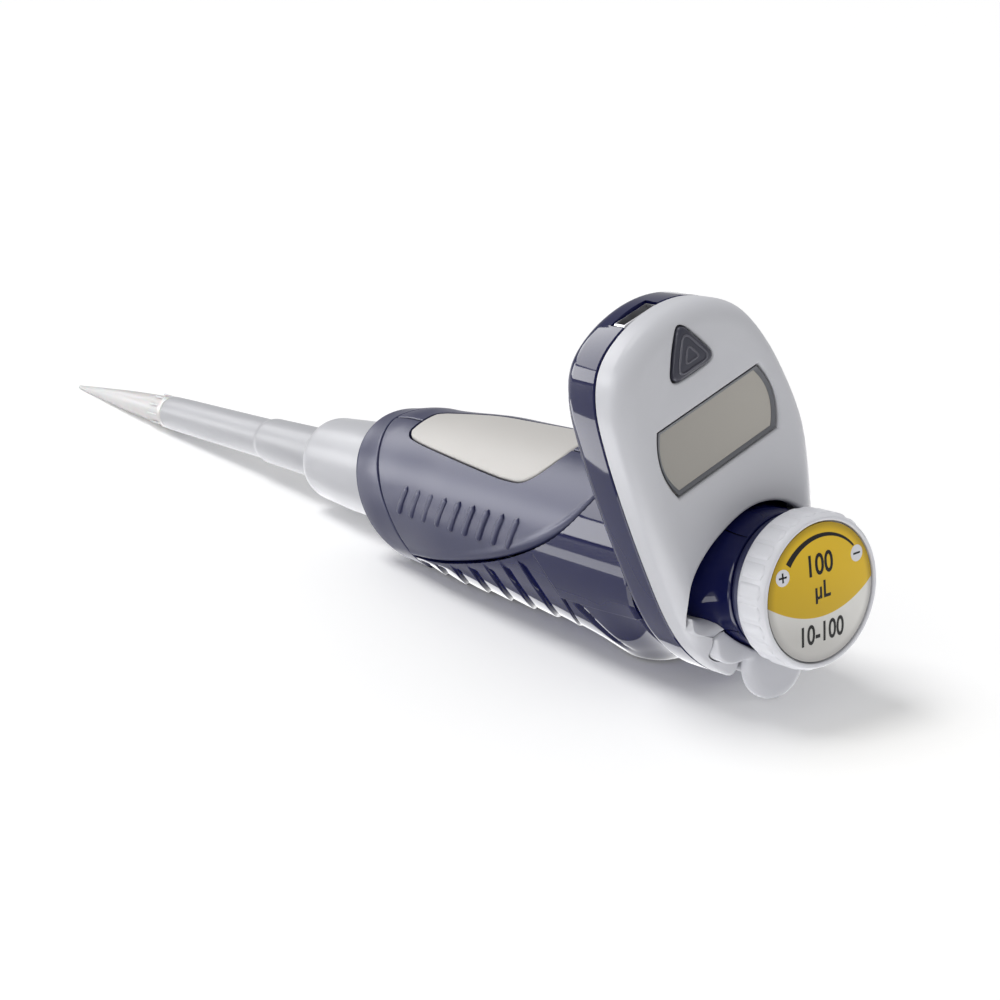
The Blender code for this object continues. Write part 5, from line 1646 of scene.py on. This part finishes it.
def dress_inner_parts(finishes):
    """Gives each solid that stays its finish."""
    choice = {
        "tip_holder": "white", "piston_seal": "seal", "seal_o_ring": "rubber", "seal_retainer": "steel",
        "connecting_nut": "steel", "ejector_rod": "steel", "ejector_spring": "steel", "rod_guide": "frame",
        "frame_tube": "frame", "motor_bracket": "steel", "drive_motor": "steel", "piston_rod": "steel",
        "piston_carrier": "frame", "drive_nut": "brass", "lead_screw": "steel", "main_board": "board",
        "battery_cell": "cell", "display_module": "module", "button_dome": "steel", "push_spindle": "frame",
        "push_switch": "module", "switch_board": "board", "knob_spring": "steel",
    }
    for node, finish in choice.items():
        materials = frame["nodes"][node].data.materials
        materials.clear()
        materials.append(finishes[finish])


def make_finishes(colours):
    """One material for each finish; the white parts are lighter and darker copies of one white, painted to
    offset how the light falls on them.
    """
    return {
        "tip": clear_moulding("tip_clear", colours.tip),
        # painted shade: the sleeve and the cap are a darker copy of the white, so that their lit tops are not
        # too bright
        "sleeve": moulded_plastic("sleeve_white", shade(colours.white, 0.76), 0.34),
        "white": moulded_plastic("shell_white", shade(colours.white, 0.86), 0.3),
        "face": moulded_plastic("bezel_white", colours.white, 0.32, 0.2),
        # painted light: the knob and the thumb piece are a lighter copy of the white, so that they look lit
        # where they lie in shade
        "knob": moulded_plastic("knob_white", shade(colours.white, 1.22), 0.3),
        "satin": satin_plastic("satin_blue", colours.satin),
        "gloss": polished_plastic("gloss_blue", colours.gloss),
        "pad": soft_pad("pad_grey", colours.pad),
        "lcd": display_glass("display_glass", colours.window),
        "slate": satin_plastic("key_slate", (0.045, 0.046, 0.065)),
        "key_edge": satin_plastic("key_edge", (0.1, 0.1, 0.125)),
        "bevel": moulded_plastic("display_bevel", (0.16, 0.165, 0.18), 0.35),
        "label": label_print("label_print", colours.label),
        "ink": plain_finish("ink_black", (0.006, 0.006, 0.007), 0.5),
        "steel": metal("drawn_steel", (0.56, 0.56, 0.58)),
        "brass": metal("turned_brass", (0.72, 0.52, 0.2)),
        "frame": moulded_plastic("frame_black", (0.05, 0.05, 0.055), 0.45),
        "seal": moulded_plastic("seal_white", (0.8, 0.8, 0.78), 0.35),
        "rubber": plain_finish("ring_rubber", (0.02, 0.02, 0.02), 0.6),
        "module": plain_finish("module_black", (0.06, 0.065, 0.07), 0.4),
        "board": plain_finish("board_green", (0.015, 0.12, 0.05), 0.4),
        "cell": metal("cell_wrap", (0.5, 0.52, 0.56), 0.35),
    }


# Operators

FINISHES = {}


def shared_finishes(scene):
    """The finishes, made from the scene's colours when the first step asks for them."""
    if not FINISHES:
        FINISHES.update(make_finishes(scene.pipette_colours))
    return FINISHES


class BuildTip(bpy.types.Operator):
    """Builds the disposable tip"""

    bl_idname = "pipette.build_tip"
    bl_label = "Tip"

    def execute(self, context):
        finishes = shared_finishes(context.scene)
        build_tip(finishes)
        return {"FINISHED"}


class BuildSleeve(bpy.types.Operator):
    """Builds the ejector's tapered sleeve"""

    bl_idname = "pipette.build_sleeve"
    bl_label = "Ejector sleeve"

    def execute(self, context):
        finishes = shared_finishes(context.scene)
        build_sleeve(finishes)
        return {"FINISHED"}


class BuildCap(bpy.types.Operator):
    """Builds the wide cap that the ejector moves"""

    bl_idname = "pipette.build_cap"
    bl_label = "Cap"

    def execute(self, context):
        finishes = shared_finishes(context.scene)
        build_cap(finishes)
        return {"FINISHED"}


class BuildThumbPiece(bpy.types.Operator):
    """Builds the ejector's thumb piece"""

    bl_idname = "pipette.build_thumb_piece"
    bl_label = "Thumb piece"

    def execute(self, context):
        finishes = shared_finishes(context.scene)
        build_thumb_piece(finishes)
        return {"FINISHED"}


class BuildCollar(bpy.types.Operator):
    """Builds the collar at the handle's front"""

    bl_idname = "pipette.build_collar"
    bl_label = "Collar"

    def execute(self, context):
        finishes = shared_finishes(context.scene)
        build_collar(finishes)
        return {"FINISHED"}


class BuildGrips(bpy.types.Operator):
    """Builds the grip halves, their bars and the soft pad"""

    bl_idname = "pipette.build_grips"
    bl_label = "Grips and pad"

    def execute(self, context):
        finishes = shared_finishes(context.scene)
        build_grips(finishes, context.scene.pipette_shape)
        return {"FINISHED"}


class BuildLowerShell(bpy.types.Operator):
    """Builds the ribbed lower shell"""

    bl_idname = "pipette.build_lower_shell"
    bl_label = "Lower shell"

    def execute(self, context):
        finishes = shared_finishes(context.scene)
        build_lower_shell(finishes, context.scene.pipette_shape)
        return {"FINISHED"}


class BuildHeadShells(bpy.types.Operator):
    """Builds the back shell and the bezel of the display head"""

    bl_idname = "pipette.build_head_shells"
    bl_label = "Head shells"

    def execute(self, context):
        finishes = shared_finishes(context.scene)
        build_back_shell(finishes)
        build_bezel(finishes)
        return {"FINISHED"}


class BuildSocket(bpy.types.Operator):
    """Builds the charging socket"""

    bl_idname = "pipette.build_socket"
    bl_label = "Socket"

    def execute(self, context):
        finishes = shared_finishes(context.scene)
        build_socket(finishes)
        return {"FINISHED"}


class BuildDisplay(bpy.types.Operator):
    """Builds the display's window and frame"""

    bl_idname = "pipette.build_display"
    bl_label = "Display"

    def execute(self, context):
        finishes = shared_finishes(context.scene)
        build_display(finishes)
        return {"FINISHED"}


class BuildButton(bpy.types.Operator):
    """Builds the triangular key"""

    bl_idname = "pipette.build_button"
    bl_label = "Button"

    def execute(self, context):
        finishes = shared_finishes(context.scene)
        build_button(finishes)
        return {"FINISHED"}


class BuildNeck(bpy.types.Operator):
    """Builds the neck and its band"""

    bl_idname = "pipette.build_neck"
    bl_label = "Neck"

    def execute(self, context):
        finishes = shared_finishes(context.scene)
        build_neck(finishes)
        return {"FINISHED"}


class BuildKnob(bpy.types.Operator):
    """Builds the knob's ring and ridges"""

    bl_idname = "pipette.build_knob"
    bl_label = "Knob"

    def execute(self, context):
        finishes = shared_finishes(context.scene)
        build_knob(finishes, context.scene.pipette_shape)
        return {"FINISHED"}


class BuildLabel(bpy.types.Operator):
    """Builds the domed label with its print"""

    bl_idname = "pipette.build_label"
    bl_label = "Label"

    def execute(self, context):
        finishes = shared_finishes(context.scene)
        build_label(finishes)
        return {"FINISHED"}


class DressInnerParts(bpy.types.Operator):
    """Gives the inner parts their finishes"""

    bl_idname = "pipette.dress_inner"
    bl_label = "Inner parts"

    def execute(self, context):
        finishes = shared_finishes(context.scene)
        dress_inner_parts(finishes)
        return {"FINISHED"}


class BuildStage(bpy.types.Operator):
    """Adds the floor, the lamps and the camera"""

    bl_idname = "pipette.build_stage"
    bl_label = "Stage"

    def execute(self, context):
        stage = context.scene.pipette_stage
        build_floor(stage)
        build_lamps(stage)
        build_camera(context.scene)
        return {"FINISHED"}


def build_floor(stage):
    """A wide round floor that glows a little, so that its edge is lost in the white."""
    bm = bmesh.new()
    bmesh.ops.create_circle(bm, cap_ends=True, segments=96, radius=6.0)
    mesh = bpy.data.meshes.new("floor")
    bm.to_mesh(mesh)
    bm.free()
    board = Board("floor_white", emission_color=(1.0, 1.0, 1.0), emission_strength=0.12, roughness=0.6)
    board.set(base_color=board.drift(board.noise(3.0), stage.floor, 0.995, 1.005))
    mesh.materials.append(board.material)
    floor = linked("floor", mesh)


def lamp(name, kind, energy, place, target):
    """A lamp at a place that looks at a target."""
    data = bpy.data.lights.new(name, kind)
    data.energy = energy
    item = linked(name, data)
    item.location = place
    item.rotation_euler = (Vector(target) - Vector(place)).to_track_quat("-Z", "Y").to_euler()
    return item


def lamp_box(name, place, target, size, brightness):
    """A lamp box that only gloss shows, of a brightness where the floor has about 1."""
    box = lamp(name, "AREA", math.pi * size[0] * size[1] * brightness, place, target)
    box.data.shape = "RECTANGLE"
    box.data.size, box.data.size_y = size
    box.visible_camera = False
    box.visible_diffuse = False


def build_lamps(stage):
    """One wide soft light from the left, an even sky, and boxes and cards that only gloss shows."""
    main_light = lamp("main", "SUN", stage.sun, MAIN_PLACE, (0.0, 0.0, 0.0))
    main_light.data.angle = math.radians(MAIN_WIDTH)
    for name, place, target, size, brightness in LAMP_BOXES:
        lamp_box(name, place, target, size, brightness * stage.boxes)
    world = bpy.data.worlds.new("studio")
    world.use_nodes = True
    sky = world.node_tree.nodes["Background"].inputs
    sky["Color"].default_value = (1.0, 1.0, 1.0, 1.0)
    sky["Strength"].default_value = stage.sky
    bpy.context.scene.world = world
    bpy.context.scene.view_settings.view_transform = "Standard"


def build_camera(scene):
    """Camera at the photograph's angle, found by matching the tip, the handle and the label's circle."""
    turn, dip = math.radians(CAMERA_TURN), math.radians(CAMERA_DIP)
    look = Vector((-math.sin(turn) * math.cos(dip), math.cos(turn) * math.cos(dip), -math.sin(dip)))
    data = bpy.data.cameras.new("view")
    data.lens = CAMERA_LENS
    data.clip_start = 0.01
    camera = linked("view", data)
    settle = Matrix.Rotation(FITTED_SLOPE - math.atan(TABLE_SLOPE), 4, "Y")
    view = look.to_track_quat("-Z", "Y").to_matrix().to_4x4()
    view.translation = CAMERA_PLACE
    camera.matrix_world = Matrix.Translation(LAY.to_translation()) @ settle @ view
    scene.camera = camera


class PipettePanel(bpy.types.Panel):
    """Lists the settings and the build steps"""

    bl_idname = "VIEW3D_PT_pipette"
    bl_label = "Pipette"
    bl_space_type = "VIEW_3D"
    bl_region_type = "UI"
    bl_category = "Pipette"

    def draw(self, context):
        scene = context.scene
        for group in (scene.pipette_shape, scene.pipette_colours, scene.pipette_stage):
            for key in group.bl_rna.properties.keys():
                if key not in {"rna_type", "name"}:
                    self.layout.prop(group, key)
        for step in STEPS:
            self.layout.operator(step.bl_idname)


STEPS = (
    BuildTip, BuildSleeve, BuildCap, BuildThumbPiece, BuildCollar, BuildGrips, BuildLowerShell,
    BuildHeadShells, BuildSocket, BuildDisplay, BuildButton, BuildNeck, BuildKnob, BuildLabel,
    DressInnerParts, BuildStage,
)
CLASSES = (PipetteShape, PipetteColours, PipetteStage, *STEPS, PipettePanel)


def register():
    for item in CLASSES:
        bpy.utils.register_class(item)
    bpy.types.Scene.pipette_shape = bpy.props.PointerProperty(type=PipetteShape)
    bpy.types.Scene.pipette_colours = bpy.props.PointerProperty(type=PipetteColours)
    bpy.types.Scene.pipette_stage = bpy.props.PointerProperty(type=PipetteStage)


def unregister():
    del bpy.types.Scene.pipette_stage
    del bpy.types.Scene.pipette_colours
    del bpy.types.Scene.pipette_shape
    for item in reversed(CLASSES):
        bpy.utils.unregister_class(item)


def main():
    register()
    bpy.ops.pipette.build_tip()
    bpy.ops.pipette.build_sleeve()
    bpy.ops.pipette.build_cap()
    bpy.ops.pipette.build_thumb_piece()
    bpy.ops.pipette.build_collar()
    bpy.ops.pipette.build_grips()
    bpy.ops.pipette.build_lower_shell()
    bpy.ops.pipette.build_head_shells()
    bpy.ops.pipette.build_socket()
    bpy.ops.pipette.build_display()
    bpy.ops.pipette.build_button()
    bpy.ops.pipette.build_neck()
    bpy.ops.pipette.build_knob()
    bpy.ops.pipette.build_label()
    bpy.ops.pipette.dress_inner()
    bpy.ops.pipette.build_stage()


if __name__ == "__main__":
    main()
